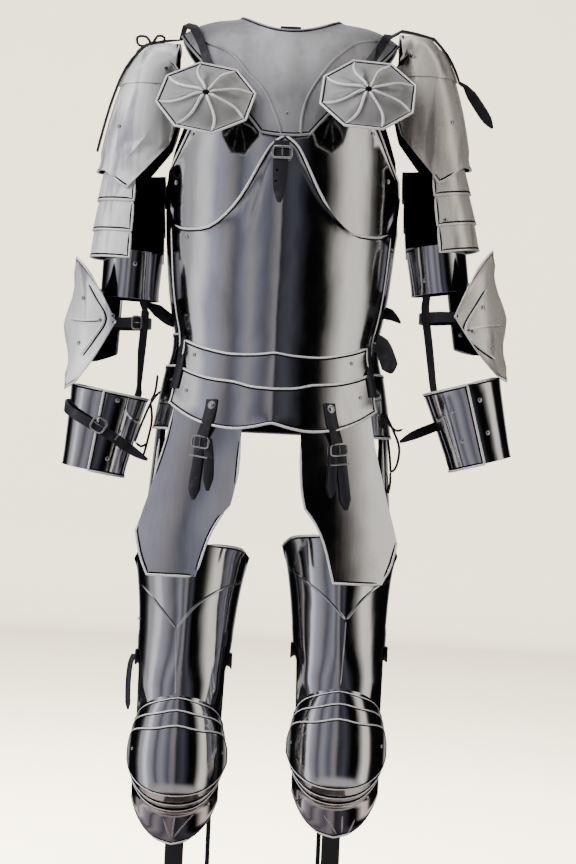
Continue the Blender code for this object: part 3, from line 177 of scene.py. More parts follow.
class Graph:
    """The node tree of one material or of the world."""

    def __init__(self, tree: bpy.types.NodeTree) -> None:
        """Clears the tree.

        Args:
            tree: The tree that is built.
        """
        self.tree = tree
        tree.nodes.clear()

    def node(self, kind: str, settings: dict | None = None, inputs: dict | None = None) -> bpy.types.Node:
        """Adds one node.

        Args:
            kind: Its type.
            settings: Its settings, set first. "stops" gives a ramp's places and colours.
            inputs: Values or links for its sockets, by name or number.

        Returns:
            The node.
        """
        made = self.tree.nodes.new(kind)
        for name, value in (settings or {}).items():
            if name == "stops":
                self.set_stops(made.color_ramp, value)
            else:
                setattr(made, name, value)
        for key, value in (inputs or {}).items():
            socket = made.inputs[key]
            source = value.source if isinstance(value, Value) else value
            if isinstance(source, bpy.types.NodeSocket):
                self.tree.links.new(source, socket)
            else:
                socket.default_value = source
        return made

    @staticmethod
    def set_stops(ramp: bpy.types.ColorRamp, stops: list[tuple[float, Triple]]) -> None:
        """Sets a ramp's places and colours.

        Args:
            ramp: The ramp.
            stops: Each stop's place and colour.
        """
        while len(ramp.elements) < len(stops):
            ramp.elements.new(0.5)
        for element, (place, colour) in zip(ramp.elements, stops):
            element.position = place
        for element, (place, colour) in zip(ramp.elements, stops):
            element.color = (*colour, 1.0)

    def coordinates(self, kind: str = "Object") -> bpy.types.NodeSocket:
        """The object's own coordinates, or another kind."""
        return self.node("ShaderNodeTexCoord").outputs[kind]

    def stretched(self, coord: bpy.types.NodeSocket, scale: Triple) -> bpy.types.NodeSocket:
        """Coordinates multiplied by a scale for each axis.

        Args:
            coord: The coordinates.
            scale: The factor for each axis.

        Returns:
            The multiplied coordinates.
        """
        return self.node("ShaderNodeVectorMath", {"operation": "MULTIPLY"}, {0: coord, 1: scale}).outputs[0]

    def noise(self, coord: bpy.types.NodeSocket, scale: float, detail: float = 3.0, rough: float = 0.5) -> Value:
        """A noise between 0 and 1.

        Args:
            coord: The coordinates it is read at.
            scale: Waves for each metre.
            detail: How many finer layers it has.
            rough: How strong the finer layers are.

        Returns:
            The noise.
        """
        inputs = {"Vector": coord, "Scale": scale, "Detail": detail, "Roughness": rough}
        return Value(self, self.node("ShaderNodeTexNoise", {}, inputs).outputs[0])

    def cells(self, coord: bpy.types.NodeSocket, scale: float) -> Value:
        """The distance to the nearest of scattered points, as in leather grain."""
        node = self.node("ShaderNodeTexVoronoi", {"feature": "F1"}, {"Vector": coord, "Scale": scale})
        return Value(self, node.outputs["Distance"])

    def mixed(self, share: Value | float, first: object, second: object) -> bpy.types.NodeSocket:
        """A colour between two colours.

        Args:
            share: The second colour's share.
            first: A colour or a socket.
            second: A colour or a socket.

        Returns:
            The mixed colour.
        """
        inputs = {"Factor": share, 6: self.full(first), 7: self.full(second)}
        return self.node("ShaderNodeMix", {"data_type": "RGBA"}, inputs).outputs[2]

    @staticmethod
    def full(colour: object) -> object:
        """A colour with its fourth number, or the socket as it is."""
        return (*colour, 1.0) if isinstance(colour, tuple) and len(colour) == 3 else colour

    def bumped(self, height: Value, strength: float, distance: float,
               under: bpy.types.NodeSocket | None = None) -> bpy.types.NodeSocket:
        """A normal moved by a height.

        Args:
            height: The height, from 0 to 1.
            strength: How much of it shows.
            distance: The height of 1, in metres.
            under: A normal that it goes on top of.

        Returns:
            The normal.
        """
        inputs = {"Height": height, "Strength": strength, "Distance": distance}
        if under is not None:
            inputs["Normal"] = under
        return self.node("ShaderNodeBump", {}, inputs).outputs[0]

    def surface(self, **inputs: object) -> None:
        """Ends the tree in one Principled shader.

        Args:
            inputs: Its sockets' values or links, with _ for a space in a name.
        """
        values = {name.replace("_", " "): self.full(value) for name, value in inputs.items()}
        shader = self.node("ShaderNodeBsdfPrincipled", {}, values)
        self.node("ShaderNodeOutputMaterial", {}, {"Surface": shader.outputs[0]})


# Finishes


@dataclass(frozen=True)
class Finish:
    """A surface finish that can make its material."""

    name: str
    slot: Slot

    def graph(self) -> tuple[bpy.types.Material, Graph]:
        """A new empty material.

        Returns:
            The material and its node tree.
        """
        material = bpy.data.materials.new(self.name)
        material.use_nodes = True
        return material, Graph(material.node_tree)

    def material(self) -> bpy.types.Material:
        """Makes the material."""
        raise NotImplementedError


@dataclass(frozen=True)
class Steel(Finish):
    """Plate steel polished by hand along the limb: fine streaks, soft dents, smudges, darker stains, and thin dark
    upright streaks painted into the colour as reflections.
    """

    bright: Triple = (0.72, 0.72, 0.74)
    stained: Triple = (0.50, 0.475, 0.48)
    rough_low: float = 0.05
    rough_high: float = 0.15
    dent: float = 0.40
    scratch: float = 0.35
    metal: float = 1.0
    # Share of the thin dark upright streaks painted into the colour: painted reflections.
    lines: float = 0.25

    STREAK_WAVES = (60.0, 60.0, 3.0)
    HAIR_WAVES = (950.0, 950.0, 22.0)
    STAIN_WAVES = (7.0, 7.0, 4.0)
    LINE_WAVES = (42.0, 42.0, 5.0)
    DENT_DEPTH = 3.0 * MM
    STREAK_DEPTH = 0.25 * MM
    HAIR_DEPTH = 0.03 * MM

    def material(self) -> bpy.types.Material:
        """Makes the material.

        Returns:
            The material.
        """
        made, graph = self.graph()
        place = graph.coordinates()
        streaks = graph.noise(graph.stretched(place, self.STREAK_WAVES), 1.0, 4.0, 0.6)
        hair = graph.noise(graph.stretched(place, self.HAIR_WAVES), 1.0, 2.0)
        smudge = graph.noise(place, 22.0, 5.0, 0.62).step(0.38, 0.72)
        stain = graph.noise(graph.stretched(place, self.STAIN_WAVES), 1.0, 4.0, 0.6).step(0.42, 0.75)
        dents = graph.noise(place, 15.0, 1.0, 0.4)
        rough = self.rough_low + (self.rough_high - self.rough_low) * (streaks * 0.5 + smudge * 0.5) + hair * 0.05
        # Painted reflection: thin upright streaks that darken the colour toward the stained tone.
        lines = graph.noise(graph.stretched(place, self.LINE_WAVES), 1.0, 3.0, 0.5).step(0.50, 0.66)
        colour = graph.mixed(stain * 0.5 + streaks * 0.15 + lines * self.lines, self.bright, self.stained)
        soft = graph.bumped(dents, self.dent, self.DENT_DEPTH)
        fine = graph.bumped(streaks, self.scratch, self.STREAK_DEPTH, soft)
        normal = graph.bumped(hair, self.scratch, self.HAIR_DEPTH, fine)
        graph.surface(Base_Color=colour, Metallic=self.metal, Roughness=rough, Normal=normal)
        return made


@dataclass(frozen=True)
class BlackedSteel(Finish):
    """The inner side of a plate: left dark from the forge, with a dull oily brown-black skin, and darkened further to
    near-black as painted shade for the shadow inside the plates.
    """

    # Near-black: the forge skin darkened further as painted shade.
    colour: Triple = (0.002, 0.002, 0.0025)
    rubbed: Triple = (0.009, 0.008, 0.008)

    def material(self) -> bpy.types.Material:
        """Makes the material.

        Returns:
            The material.
        """
        made, graph = self.graph()
        place = graph.coordinates()
        scale = graph.noise(place, 260.0, 5.0, 0.7)
        rub = graph.noise(place, 24.0, 5.0, 0.65).step(0.50, 0.80)
        colour = graph.mixed(rub * 0.6 + scale * 0.15, self.colour, self.rubbed)
        rough = 0.46 + scale * 0.22
        normal = graph.bumped(scale, 0.35, 0.2 * MM)
        graph.surface(Base_Color=colour, Metallic=0.0, Specular_IOR_Level=0.06, Roughness=rough, Normal=normal)
        return made


@dataclass(frozen=True)
class Leather(Finish):
    """Black strap leather with a fine grain, creases and grey wear."""

    colour: Triple = (0.010, 0.010, 0.013)
    worn: Triple = (0.050, 0.048, 0.055)

    def material(self) -> bpy.types.Material:
        """Makes the material.

        Returns:
            The material.
        """
        made, graph = self.graph()
        place = graph.coordinates()
        grain = graph.cells(place, 850.0)
        crease = graph.noise(place, 110.0, 5.0, 0.65)
        wear = graph.noise(place, 38.0, 6.0, 0.7).step(0.52, 0.78)
        colour = graph.mixed(wear * 0.8, self.colour, self.worn)
        rough = 0.34 + crease * 0.22 + wear * 0.12
        under = graph.bumped(crease, 0.5, 0.5 * MM)
        normal = graph.bumped(grain, 0.45, 0.15 * MM, under)
        graph.surface(Base_Color=colour, Roughness=rough, Normal=normal)
        return made


@dataclass(frozen=True)
class PowderCoat(Finish):
    """Matt black powder coat with a fine orange peel and dust on what faces up."""

    colour: Triple = (0.010, 0.010, 0.011)
    dust: Triple = (0.055, 0.052, 0.048)

    def material(self) -> bpy.types.Material:
        """Makes the material.

        Returns:
            The material.
        """
        made, graph = self.graph()
        place = graph.coordinates()
        peel = graph.noise(place, 620.0, 2.0)
        patch = graph.noise(place, 14.0, 6.0, 0.65)
        upward = graph.node("ShaderNodeNewGeometry").outputs["Normal"]
        height = Value(graph, graph.node("ShaderNodeSeparateXYZ", {}, {"Vector": upward}).outputs["Z"])
        dusty = height.step(0.6, 1.0) * patch.step(0.35, 0.75)
        colour = graph.mixed(dusty * 0.7 + patch * 0.12, self.colour, self.dust)
        rough = 0.46 + peel * 0.10 + dusty * 0.25
        graph.surface(Base_Color=colour, Roughness=rough, Normal=graph.bumped(peel, 0.35, 0.12 * MM))
        return made


# Mesh making


@dataclass
class Spot:
    """A place on a plate: a point and the plate's normal there."""

    point: Vector
    normal: Vector

    def raised(self, height: float) -> Vector:
        """The point moved out along the normal."""
        return self.point + self.normal * height


class MeshMaker:
    """Collects the points and faces of one piece."""

    def __init__(self) -> None:
        """Starts with nothing."""
        self.points: list[Vector] = []
        self.faces: list[tuple[int, ...]] = []

    def rings(self, rings: list[list[Vector]], closed: bool = False) -> None:
        """Joins rings of equal count into a skin.

        Args:
            rings: The rings in order.
            closed: Whether the last joins the first. Otherwise both ends are capped.
        """
        start = len(self.points)
        count = len(rings[0])
        for ring in rings:
            self.points.extend(ring)
        spans = len(rings) if closed else len(rings) - 1
        for row in range(spans):
            low = start + row * count
            high = start + (row + 1) % len(rings) * count
            for place in range(count):
                after = (place + 1) % count
                self.faces.append((low + place, low + after, high + after, high + place))
        if not closed:
            self.faces.append(tuple(reversed(range(start, start + count))))
            self.faces.append(tuple(range(start + (len(rings) - 1) * count, start + len(rings) * count)))

    def tube(self, path: list[Vector], radius: float, normals: list[Vector] | None = None, flat: float = 1.0,
             sides: int = 8, closed: bool = False, taper: bool = True) -> None:
        """Adds a round or flattened tube.

        Args:
            path: Its middle line.
            radius: Half its width.
            normals: The direction that it is flattened along, at each point.
            flat: Its height as a share of its width.
            sides: How many sides it has.
            closed: Whether it is a ring.
            taper: Whether its ends get thinner.
        """
        if len(path) < 2:
            return
        rings = []
        last = len(path) - 1
        up = normals[0] if normals else self.any_side(path[1] - path[0])
        for place, point in enumerate(path):
            before = path[place - 1] if place or closed else path[0]
            after = path[(place + 1) % len(path)] if place < last or closed else path[last]
            along = (after - before).normalized()
            up = normals[place] if normals else up
            up = (up - along * up.dot(along))
            up = up.normalized() if up.length > 1e-9 else self.any_side(along)
            side = along.cross(up)
            size = radius * (0.35 if taper and not closed and place in (0, last) else 1.0)
            ring = []
            for step in range(sides):
                turn = 2 * math.pi * step / sides
                ring.append(point + side * (math.cos(turn) * size) + up * (math.sin(turn) * size * flat))
            rings.append(ring)
        self.rings(rings, closed)

    @staticmethod
    def any_side(along: Vector) -> Vector:
        """Any direction square to this one."""
        other = Vector((1, 0, 0)) if abs(along.normalized().x) < 0.8 else Vector((0, 0, 1))
        return along.cross(other).normalized()

    def band(self, path: list[Vector], normals: list[Vector], widths: list[float], thick: float) -> None:
        """Adds a flat strap with softened edges.

        Args:
            path: The middle line of the side that lies down.
            normals: The strap's outward direction at each point.
            widths: Its width at each point.
            thick: Its thickness.
        """
        rings = []
        last = len(path) - 1
        for place, (point, up, width) in enumerate(zip(path, normals, widths)):
            along = (path[min(place + 1, last)] - path[max(place - 1, 0)]).normalized()
            side = along.cross(up).normalized()
            up = side.cross(along).normalized()
            half = width / 2
            edge = min(0.4 * thick, 0.4 * half)
            profile = [(-half, edge), (-half, thick - edge), (-half + edge, thick), (half - edge, thick),
                       (half, thick - edge), (half, edge), (half - edge, 0.0), (-half + edge, 0.0)]
            rings.append([point + side * across + up * high for across, high in profile])
        self.rings(rings)

    def frame(self, spot: Spot, along: Vector, width: float, length: float, bar: float, lift: float) -> None:
        """Adds a buckle's frame: a rounded rectangle of wire with its prong.

        Args:
            spot: Its middle, on what it lies on.
            along: The strap's direction.
            width: Its inner width across the strap.
            length: Its length along the strap.
            bar: The wire's radius.
            lift: How far its middle stands off the spot.
        """
        up = spot.normal
        along = (along - up * along.dot(up)).normalized()
        side = along.cross(up).normalized()
        centre = spot.raised(lift)
        corner = min(width, length) * 0.28
        path = []
        for sign_side, sign_along, turn in ((1, 1, 0), (-1, 1, 1), (-1, -1, 2), (1, -1, 3)):
            middle = (centre + side * (sign_side * (width / 2 - corner))
                      + along * (sign_along * (length / 2 - corner)))
            for step in range(4):
                angle = math.pi / 2 * (turn + step / 3)
                path.append(middle + side * (corner * math.cos(angle)) + along * (corner * math.sin(angle)))
        self.tube(path, bar, closed=True, sides=8)
        start = centre - along * (length / 2)
        self.tube([start + up * bar, centre + up * (2.0 * bar), centre + along * (length / 2 + bar) + up * bar],
                  bar * 0.75, sides=6)

    def keeper(self, spot: Spot, along: Vector, width: float, bar: float, lift: float) -> None:
        """Adds a flat wire loop across a strap.

        Args:
            spot: Its middle, on what the strap lies on.
            along: The strap's direction.
            width: Its width across the strap.
            bar: The wire's radius.
            lift: How far it stands off the spot.
        """
        up = spot.normal
        along = (along - up * along.dot(up)).normalized()
        side = along.cross(up).normalized()
        top = spot.raised(lift)
        path = [spot.point + side * (width / 2), top + side * (width / 2), top - side * (width / 2),
                spot.point - side * (width / 2)]
        self.tube(path, bar, sides=8)

    def dome(self, spot: Spot, radius: float, height: float, rim: float = 0.0) -> None:
        """Adds a round head that sits on a plate.

        Args:
            spot: Where it sits.
            radius: Its radius.
            height: Its height.
            rim: The radius of a thin washer under it, or 0.
        """
        side = self.any_side(spot.normal)
        other = spot.normal.cross(side)
        profile = [(radius, -0.6 * MM), (radius, 0.25 * height), (0.86 * radius, 0.62 * height),
                   (0.55 * radius, 0.9 * height), (0.18 * radius, height)]
        if rim:
            profile = [(rim, -0.6 * MM), (rim, 0.4 * MM), (radius * 1.05, 0.6 * MM)] + profile[1:]
        rings = []
        for wide, high in profile:
            ring = []
            for step in range(12):
                turn = 2 * math.pi * step / 12
                ring.append(spot.raised(high) + side * (wide * math.cos(turn)) + other * (wide * math.sin(turn)))
            rings.append(ring)
        self.rings(rings)

    def made(self, name: str, material: bpy.types.Material, body: str, slot: Slot) -> bpy.types.Object:
        """Makes the piece.

        Args:
            name: Its name.
            material: Its finish.
            body: The body that it rides on.
            slot: The record's slot for its finish.

        Returns:
            The object.
        """
        mesh = bpy.data.meshes.new(name)
        mesh.from_pydata([tuple(point) for point in self.points], [], self.faces)
        grown = bmesh.new()
        grown.from_mesh(mesh)
        bmesh.ops.recalc_face_normals(grown, faces=grown.faces)
        grown.to_mesh(mesh)
        grown.free()
        piece = linked(name, mesh)
        Shop.dress(piece, material, body, slot)
        mesh.shade_smooth()
        mesh.set_sharp_from_angle(angle=math.radians(50))
        LOG.info("%s: %d faces", name, len(mesh.polygons))
        return piece


def linked(name: str, data: bpy.types.ID) -> bpy.types.Object:
    """Makes an object of some data and puts it in the scene.

    Args:
        name: Its name.
        data: Its mesh, camera or light.

    Returns:
        The object.
    """
    piece = bpy.data.objects.new(name, data)
    bpy.context.scene.collection.objects.link(piece)
    return piece


def smooth_line(points: list[Vector], step: float) -> list[Vector]:
    """Puts a smooth line through points.

    Args:
        points: The points.
        step: The rough spacing of the new points.

    Returns:
        The new points.
    """
    line = []
    last = len(points) - 1
    for place in range(last):
        a = points[max(place - 1, 0)]
        b = points[place]
        c = points[place + 1]
        d = points[min(place + 2, last)]
        count = max(1, round((c - b).length / step))
        for index in range(count):
            t = index / count
            line.append(0.5 * (2 * b + (c - a) * t + (2 * a - 5 * b + 4 * c - d) * t * t
                               + (3 * b - a - 3 * c + d) * t * t * t))
    return line + [points[last]]


# The workshop that the sub-assemblies share


class Shop:
    """The frame, the finishes and the plates that are already remade."""

    def __init__(self, frame: dict) -> None:
        """Makes the finishes.
        """
        self.frame = frame
        self.bodies = {node: obj["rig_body"] for node, obj in frame["nodes"].items()}
        self.trees: dict[str, BVHTree] = {}
        self.eye = Studio.EYE
        finishes = [
            Steel("polished_steel", Slot.STEEL),
            # Lit and shaded copies of the steel: the wearer's right, toward the key light, is painted whiter with less
            # metal; the left is painted darker and warmer.
            Steel("pale_steel", Slot.STEEL, bright=(1.0, 1.0, 1.0), stained=(0.36, 0.345, 0.40), rough_low=0.14,
                  rough_high=0.26, dent=0.5, scratch=0.6, metal=0.58, lines=0.75),
            Steel("warm_steel", Slot.STEEL, bright=(0.82, 0.78, 0.71), stained=(0.34, 0.32, 0.30), rough_low=0.20,
                  rough_high=0.32, dent=0.5, scratch=0.6, metal=0.55, lines=0.7),
            # Brighter than the plates and less metal: a painted highlight for the raised borders, the disc's ribs and
            # the couter's lines.
            Steel("border_steel", Slot.STEEL, bright=(0.94, 0.94, 0.94), stained=(0.74, 0.73, 0.73), rough_low=0.20,
                  rough_high=0.32, dent=0.1, scratch=0.3, metal=0.60),
            Steel("satin_steel", Slot.DULL_STEEL, bright=(0.52, 0.52, 0.54), stained=(0.24, 0.235, 0.25),
                  rough_low=0.26, rough_high=0.42, dent=0.6, scratch=0.5, metal=0.8),
            Steel("brushed_disc_steel", Slot.STEEL, bright=(0.46, 0.455, 0.45), stained=(0.18, 0.175, 0.175),
                  rough_low=0.26, rough_high=0.44, dent=0.5, scratch=0.9, metal=0.8),
            Steel("fitting_steel", Slot.STEEL, bright=(0.74, 0.74, 0.74), stained=(0.50, 0.49, 0.48),
                  rough_low=0.14, rough_high=0.26, dent=0.1, scratch=0.2),
            # Darker and red-brown: painted reflection of the floor, for the plates below the knee cap.
            Steel("low_steel", Slot.STEEL, bright=(0.62, 0.56, 0.55), stained=(0.26, 0.17, 0.18)),
            # Near-black for plate insides, backs, hubs, eyelets and the lines beside borders: blackened steel with
            # painted shade.
            BlackedSteel("inner_steel", Slot.STEEL),
            Leather("strap_leather", Slot.LEATHER),
            PowderCoat("stand_coat", Slot.STAND),
        ]
        self.finishes = {finish.name: finish for finish in finishes}
        self.materials = {finish.name: finish.material() for finish in finishes}
        self.solids = self.all_solids()

    def all_solids(self) -> dict[str, BVHTree]:
        """A tree of each node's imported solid, for finding which borders are covered."""
        trees = {}
        for name, node in self.frame["nodes"].items():
            points = [vertex.co.copy() for vertex in node.data.vertices]
            trees[name] = BVHTree.FromPolygons(points, [tuple(face.vertices) for face in node.data.polygons])
        return trees

    @staticmethod
    def dress(piece: bpy.types.Object, material: bpy.types.Material, body: str, slot: Slot) -> None:
        """Gives a piece its finish and body.

        Args:
            piece: The piece.
            material: Its finish.
            body: The body that it rides on.
            slot: Not used.
        """
        piece.data.materials.append(material)
        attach(piece, body)

    def put(self, maker: MeshMaker, name: str, finish: str, node: str) -> bpy.types.Object:
        """Makes a piece that rides with a node.

        Args:
            maker: The piece's points and faces.
            name: Its name.
            finish: Its finish's name.
            node: The node whose body it rides on.

        Returns:
            The object.
        """
        return maker.made(name, self.materials[finish], self.bodies[node], self.finishes[finish].slot)

    def spot(self, nodes: str | tuple[str, ...], across: float, up: float) -> Spot | None:
        """The place on a plate that the camera sees through a point of the upright plane y = 0.

        Args:
            nodes: The plate, or plates of which the nearest counts.
            across: The point's x, in millimetres.
            up: The point's z, in millimetres.

        Returns:
            The place, or nothing where the plate isn't met.
        """
        aim = (Vector((across * MM, 0.0, up * MM)) - self.eye).normalized()
        best = None
        for node in (nodes,) if isinstance(nodes, str) else nodes:
            point, normal, _, distance = self.trees[node].ray_cast(self.eye, aim)
            if point is not None and (best is None or distance < best[0]):
                best = (distance, Spot(point, normal if normal.dot(aim) < 0 else -normal))
        return best[1] if best else None

    def near(self, node: str, point: Vector, toward: Vector) -> Spot | None:
        """The place on a plate that is met from a point in a direction."""
        hit, normal, _, _ = self.trees[node].ray_cast(point, toward.normalized())
        if hit is None:
            return None
        return Spot(hit, normal if normal.dot(toward) < 0 else -normal)

    def line(self, node: str, marks: Marks, step: float = 0.005) -> list[Spot]:
        """A line of places on a plate, as the camera sees them through the plane y = 0.

        Args:
            node: The plate.
            marks: The line's points on the plane, in millimetres.
            step: The rough spacing, in metres.

        Returns:
            The places.
        """
        plane = smooth_line([Vector((x * MM, 0.0, z * MM)) for x, z in marks], step)
        spots = [self.spot(node, point.x / MM, point.z / MM) for point in plane]
        return [spot for spot in spots if spot]


# Name beginnings, x on the suit's left side, y, and z or nothing for an upright line
CORES = (
    (("gorget",), 0.0, 0.0, 1.25),
    (("knee_lame", "poleyn", "demi_greave"), 0.108, 0.016, 0.512),
    (("cuisse",), 0.104, 0.03, None),
    (("tasset_front",), 0.09, 0.2, None),
    (("pauldron_top",), 0.165, 0.0, 1.38),
    (("couter",), 0.220, 0.0, None),
)


@dataclass(frozen=True)
class Core:
    """A point or an upright line inside a plate, that tells its outer side from its inner side."""

    x: float
    y: float
    z: float | None = None

    def outward(self, point: Vector) -> Vector:
        """The direction away from the core at a point."""
        return point - Vector((self.x, self.y, point.z if self.z is None else self.z))

    @staticmethod
    def of(node: str) -> "Core":
        """The core that belongs to a node.

        Args:
            node: The node.

        Returns:
            Its core.
        """
        hand = -1 if node.endswith("right") else 1
        for prefixes, x, y, z in CORES:
            if node.startswith(prefixes):
                return Core(hand * x, y, z)
        low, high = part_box(node)
        if node.startswith("besagew"):
            return Core((low.x + high.x) / 2, 0.2, 1.1)
        if node.startswith(("pauldron", "arm_lame", "upper_cannon", "vambrace")):
            return Core((low.x + high.x) / 2 - hand * 0.006, 0.0)
        return Core(0.0, 0.01)


@dataclass
class PlateWork:
    """How a node's solid is remade finer."""

    shop: Shop
    crease: float = math.radians(24)
    rim_turn: float = math.radians(50)
    bevel: float = 0.35 * MM
    bead: float = 1.75 * MM

    def remade(self, node: str, finish: str = "polished_steel", levels: int = 1, bead: float | None = None,
               back: str = "inner_steel", turned: "Turned | None" = None,
               groove: float = 1.15 * MM, inner_bare: bool = False) -> bpy.types.Object:
        """Remakes one node.

        Args:
            node: The node.
            finish: Its finish's name.
            levels: How often its faces are divided.
            bead: The radius of the raised border, 0 for none, or nothing for the usual one.
            back: A finish for the inner side, or nothing. The usual one is near-black: blackened steel with painted
                shade.
            turned: How the outer side's shading normals are eased, or nothing.
            groove: Half the width of the dark line inside the border.
            inner_bare: Whether the border stops where the plate turns to face the trunk.

        Returns:
            The piece that replaces the node.
        """
        source = self.shop.frame["nodes"][node]
        coarse = self.cleaned(source.data)
        mesh = self.divided(node, coarse, levels)
        shape = bmesh.new()
        shape.from_mesh(mesh)
        shape.faces.ensure_lookup_table()
        shape.normal_update()
        self.shop.trees[node] = BVHTree.FromBMesh(shape)
        radius = self.bead if bead is None else bead
        runs = self.border_runs(node, shape) if radius else []
        sharp = [edge for edge in shape.edges if len(edge.link_faces) == 2 and edge.calc_face_angle() > self.rim_turn]
        bmesh.ops.bevel(shape, geom=sharp, offset=self.bevel, segments=2, profile=0.6, affect="EDGES",
                        clamp_overlap=True)
        if back:
            shape.faces.ensure_lookup_table()
            self.mark_inner(node, shape)
        shape.to_mesh(mesh)
        shape.free()
        maker = MeshMaker()
        # dark collects the painted shadow lines: near-black strips just inside the raised borders.
        dark = MeshMaker()
        for run, closed in runs:
            if inner_bare:
                run = [rim for rim in run if rim.out.y < 0.35 or rim.out.x * rim.point.x > 0]
                closed = False
            maker.tube([rim.point for rim in run], radius, sides=8, closed=closed, taper=True)
            # Painted shadow: a near-black strip on the plate beside the raised border.
            line = [rim.inside(radius + 0.6 * groove) for rim in run]
            dark.tube(line, groove, [rim.out for rim in run], 0.35, 6, closed)
        piece = linked(f"{node}_plate", mesh)
        kind = self.shop.finishes[finish]
        Shop.dress(piece, self.shop.materials[finish], self.shop.bodies[node], kind.slot)
        if back:
            mesh.materials.append(self.shop.materials[back])
        mesh.shade_smooth()
        mesh.set_sharp_from_angle(angle=math.radians(42))
        if turned:
            turned.apply(mesh)
        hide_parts(node)
        if maker.faces:
            # Raised borders on steel take the bright finish: a painted highlight.
            shine = "border_steel" if kind.slot is Slot.STEEL else finish
            self.shop.put(maker, f"{node}_border", shine, node)
            self.shop.put(dark, f"{node}_groove", "inner_steel", node)
        LOG.info("%s: %d faces, %d borders", piece.name, len(mesh.polygons), len(runs))
        return piece

    def strap(self, node: str) -> None:
        """Remakes a strap in leather, which has neither a raised border nor a dark inner side."""
        self.remade(node, "strap_leather", bead=0, back="")

    def mark_inner(self, node: str, shape: bmesh.types.BMesh) -> None:
        """Gives the faces of a plate's inner side the second finish, which is near-black painted shade over blackened
        steel.

        Args:
            node: The node.
            shape: Its mesh.
        """
        solid = self.shop.trees[node]
        core = Core.of(node)
        for face in shape.faces:
            centre = face.calc_center_median()
            hit = solid.ray_cast(centre - face.normal * 0.05 * MM, -face.normal)
            thin = hit[0] is not None and hit[3] < 2.6 * WALL
            face.material_index = 1 if thin and face.normal.dot(core.outward(centre)) < 0 else 0

    @staticmethod
    def cleaned(mesh: bpy.types.Mesh) -> bpy.types.Mesh:
        """A copy of a solid's mesh with joined points and four-sided faces."""
        shape = bmesh.new()
        shape.from_mesh(mesh)
        bmesh.ops.remove_doubles(shape, verts=shape.verts, dist=0.01 * MM)
        bmesh.ops.join_triangles(shape, faces=shape.faces, cmp_seam=False, cmp_sharp=False, cmp_uvs=False,
                                 cmp_vcols=False, cmp_materials=False, angle_face_threshold=math.radians(20),
                                 angle_shape_threshold=math.radians(60))
        bmesh.ops.recalc_face_normals(shape, faces=shape.faces)
        made = bpy.data.meshes.new("solid")
        shape.to_mesh(made)
        shape.free()
        return made

    def divided(self, node: str, mesh: bpy.types.Mesh, levels: int) -> bpy.types.Mesh:
        """Divides a mesh smoothly, with its sharp edges and corners kept.

        Args:
            node: The node's name.
            mesh: The mesh.
            levels: How often its faces are divided.

        Returns:
            The finer mesh.
        """
        shape = bmesh.new()
        shape.from_mesh(mesh)
        shape.normal_update()
        edge_crease = shape.edges.layers.float.new("crease_edge")
        point_crease = shape.verts.layers.float.new("crease_vert")
        sharp = set()
        for edge in shape.edges:
            if len(edge.link_faces) == 2 and edge.calc_face_angle() > self.crease:
                edge[edge_crease] = 1.0
                sharp.add(edge)
        for vertex in shape.verts:
            chain = [edge for edge in vertex.link_edges if edge in sharp]
            straight = False
            for place, first in enumerate(chain):
                for second in chain[place + 1:]:
                    one = (first.other_vert(vertex).co - vertex.co).normalized()
                    two = (second.other_vert(vertex).co - vertex.co).normalized()
                    straight = straight or one.dot(two) < -math.cos(math.radians(32))
            if chain and not straight:
                vertex[point_crease] = 1.0
        shape.to_mesh(mesh)
        shape.free()
        piece = linked("divide", mesh)
        divide = piece.modifiers.new("divide", "SUBSURF")
        divide.levels = levels
        divide.render_levels = levels
        divide.use_limit_surface = False
        held = piece.evaluated_get(bpy.context.evaluated_depsgraph_get())
        finer = bpy.data.meshes.new_from_object(held)
        finer.name = f"{node}_plate"
        bpy.data.objects.remove(piece)
        return finer

    def border_runs(self, node: str, shape: bmesh.types.BMesh) -> list[tuple[list["Rim"], bool]]:
        """Finds the middle lines of a plate's border where nothing covers it.

        Args:
            node: The node.
            shape: Its finer mesh.

        Returns:
            Each line, and whether it is a ring.
        """
        solid = self.shop.trees[node]
        rim = set()
        for face in shape.faces:
            centre = face.calc_center_median()
            hit = solid.ray_cast(centre - face.normal * 0.05 * MM, -face.normal)
            if hit[0] is None or hit[3] > 2.6 * WALL:
                rim.add(face)
        # A dict keeps the mesh's order, which is the same each run
        middles = dict.fromkeys(v for v in shape.verts if v.link_faces and all(f in rim for f in v.link_faces))
        core = Core.of(node)
        shown = {}
        for vertex in middles:
            walls = [e.other_vert(vertex) for e in vertex.link_edges if e.other_vert(vertex) not in middles]
            edge_out = sum((f.normal for f in vertex.link_faces), Vector()).normalized()
            out = core.outward(vertex.co).normalized()
            if len(walls) > 1:
                across = (walls[0].co - walls[1].co).normalized()
                out = across if across.dot(out) > 0 else -across
                if self.covered(node, vertex.co, out):
                    continue
            shown[vertex] = Rim(vertex.co.copy(), edge_out, out)
        links = {v: [e.other_vert(v) for e in v.link_edges if e.other_vert(v) in shown] for v in shown}
        return [([shown[v] for v in run], closed) for run, closed in self.chained(links)]

    def covered(self, node: str, point: Vector, out: Vector) -> bool:
        """Whether another plate lies just outside a point."""
        for name, tree in self.shop.solids.items():
            if name == node or "strap" in name or name.startswith("stand"):
                continue
            hit = tree.ray_cast(point + out * 0.8 * MM, out, 5 * MM)
            if hit[0] is not None:
                return True
        return False

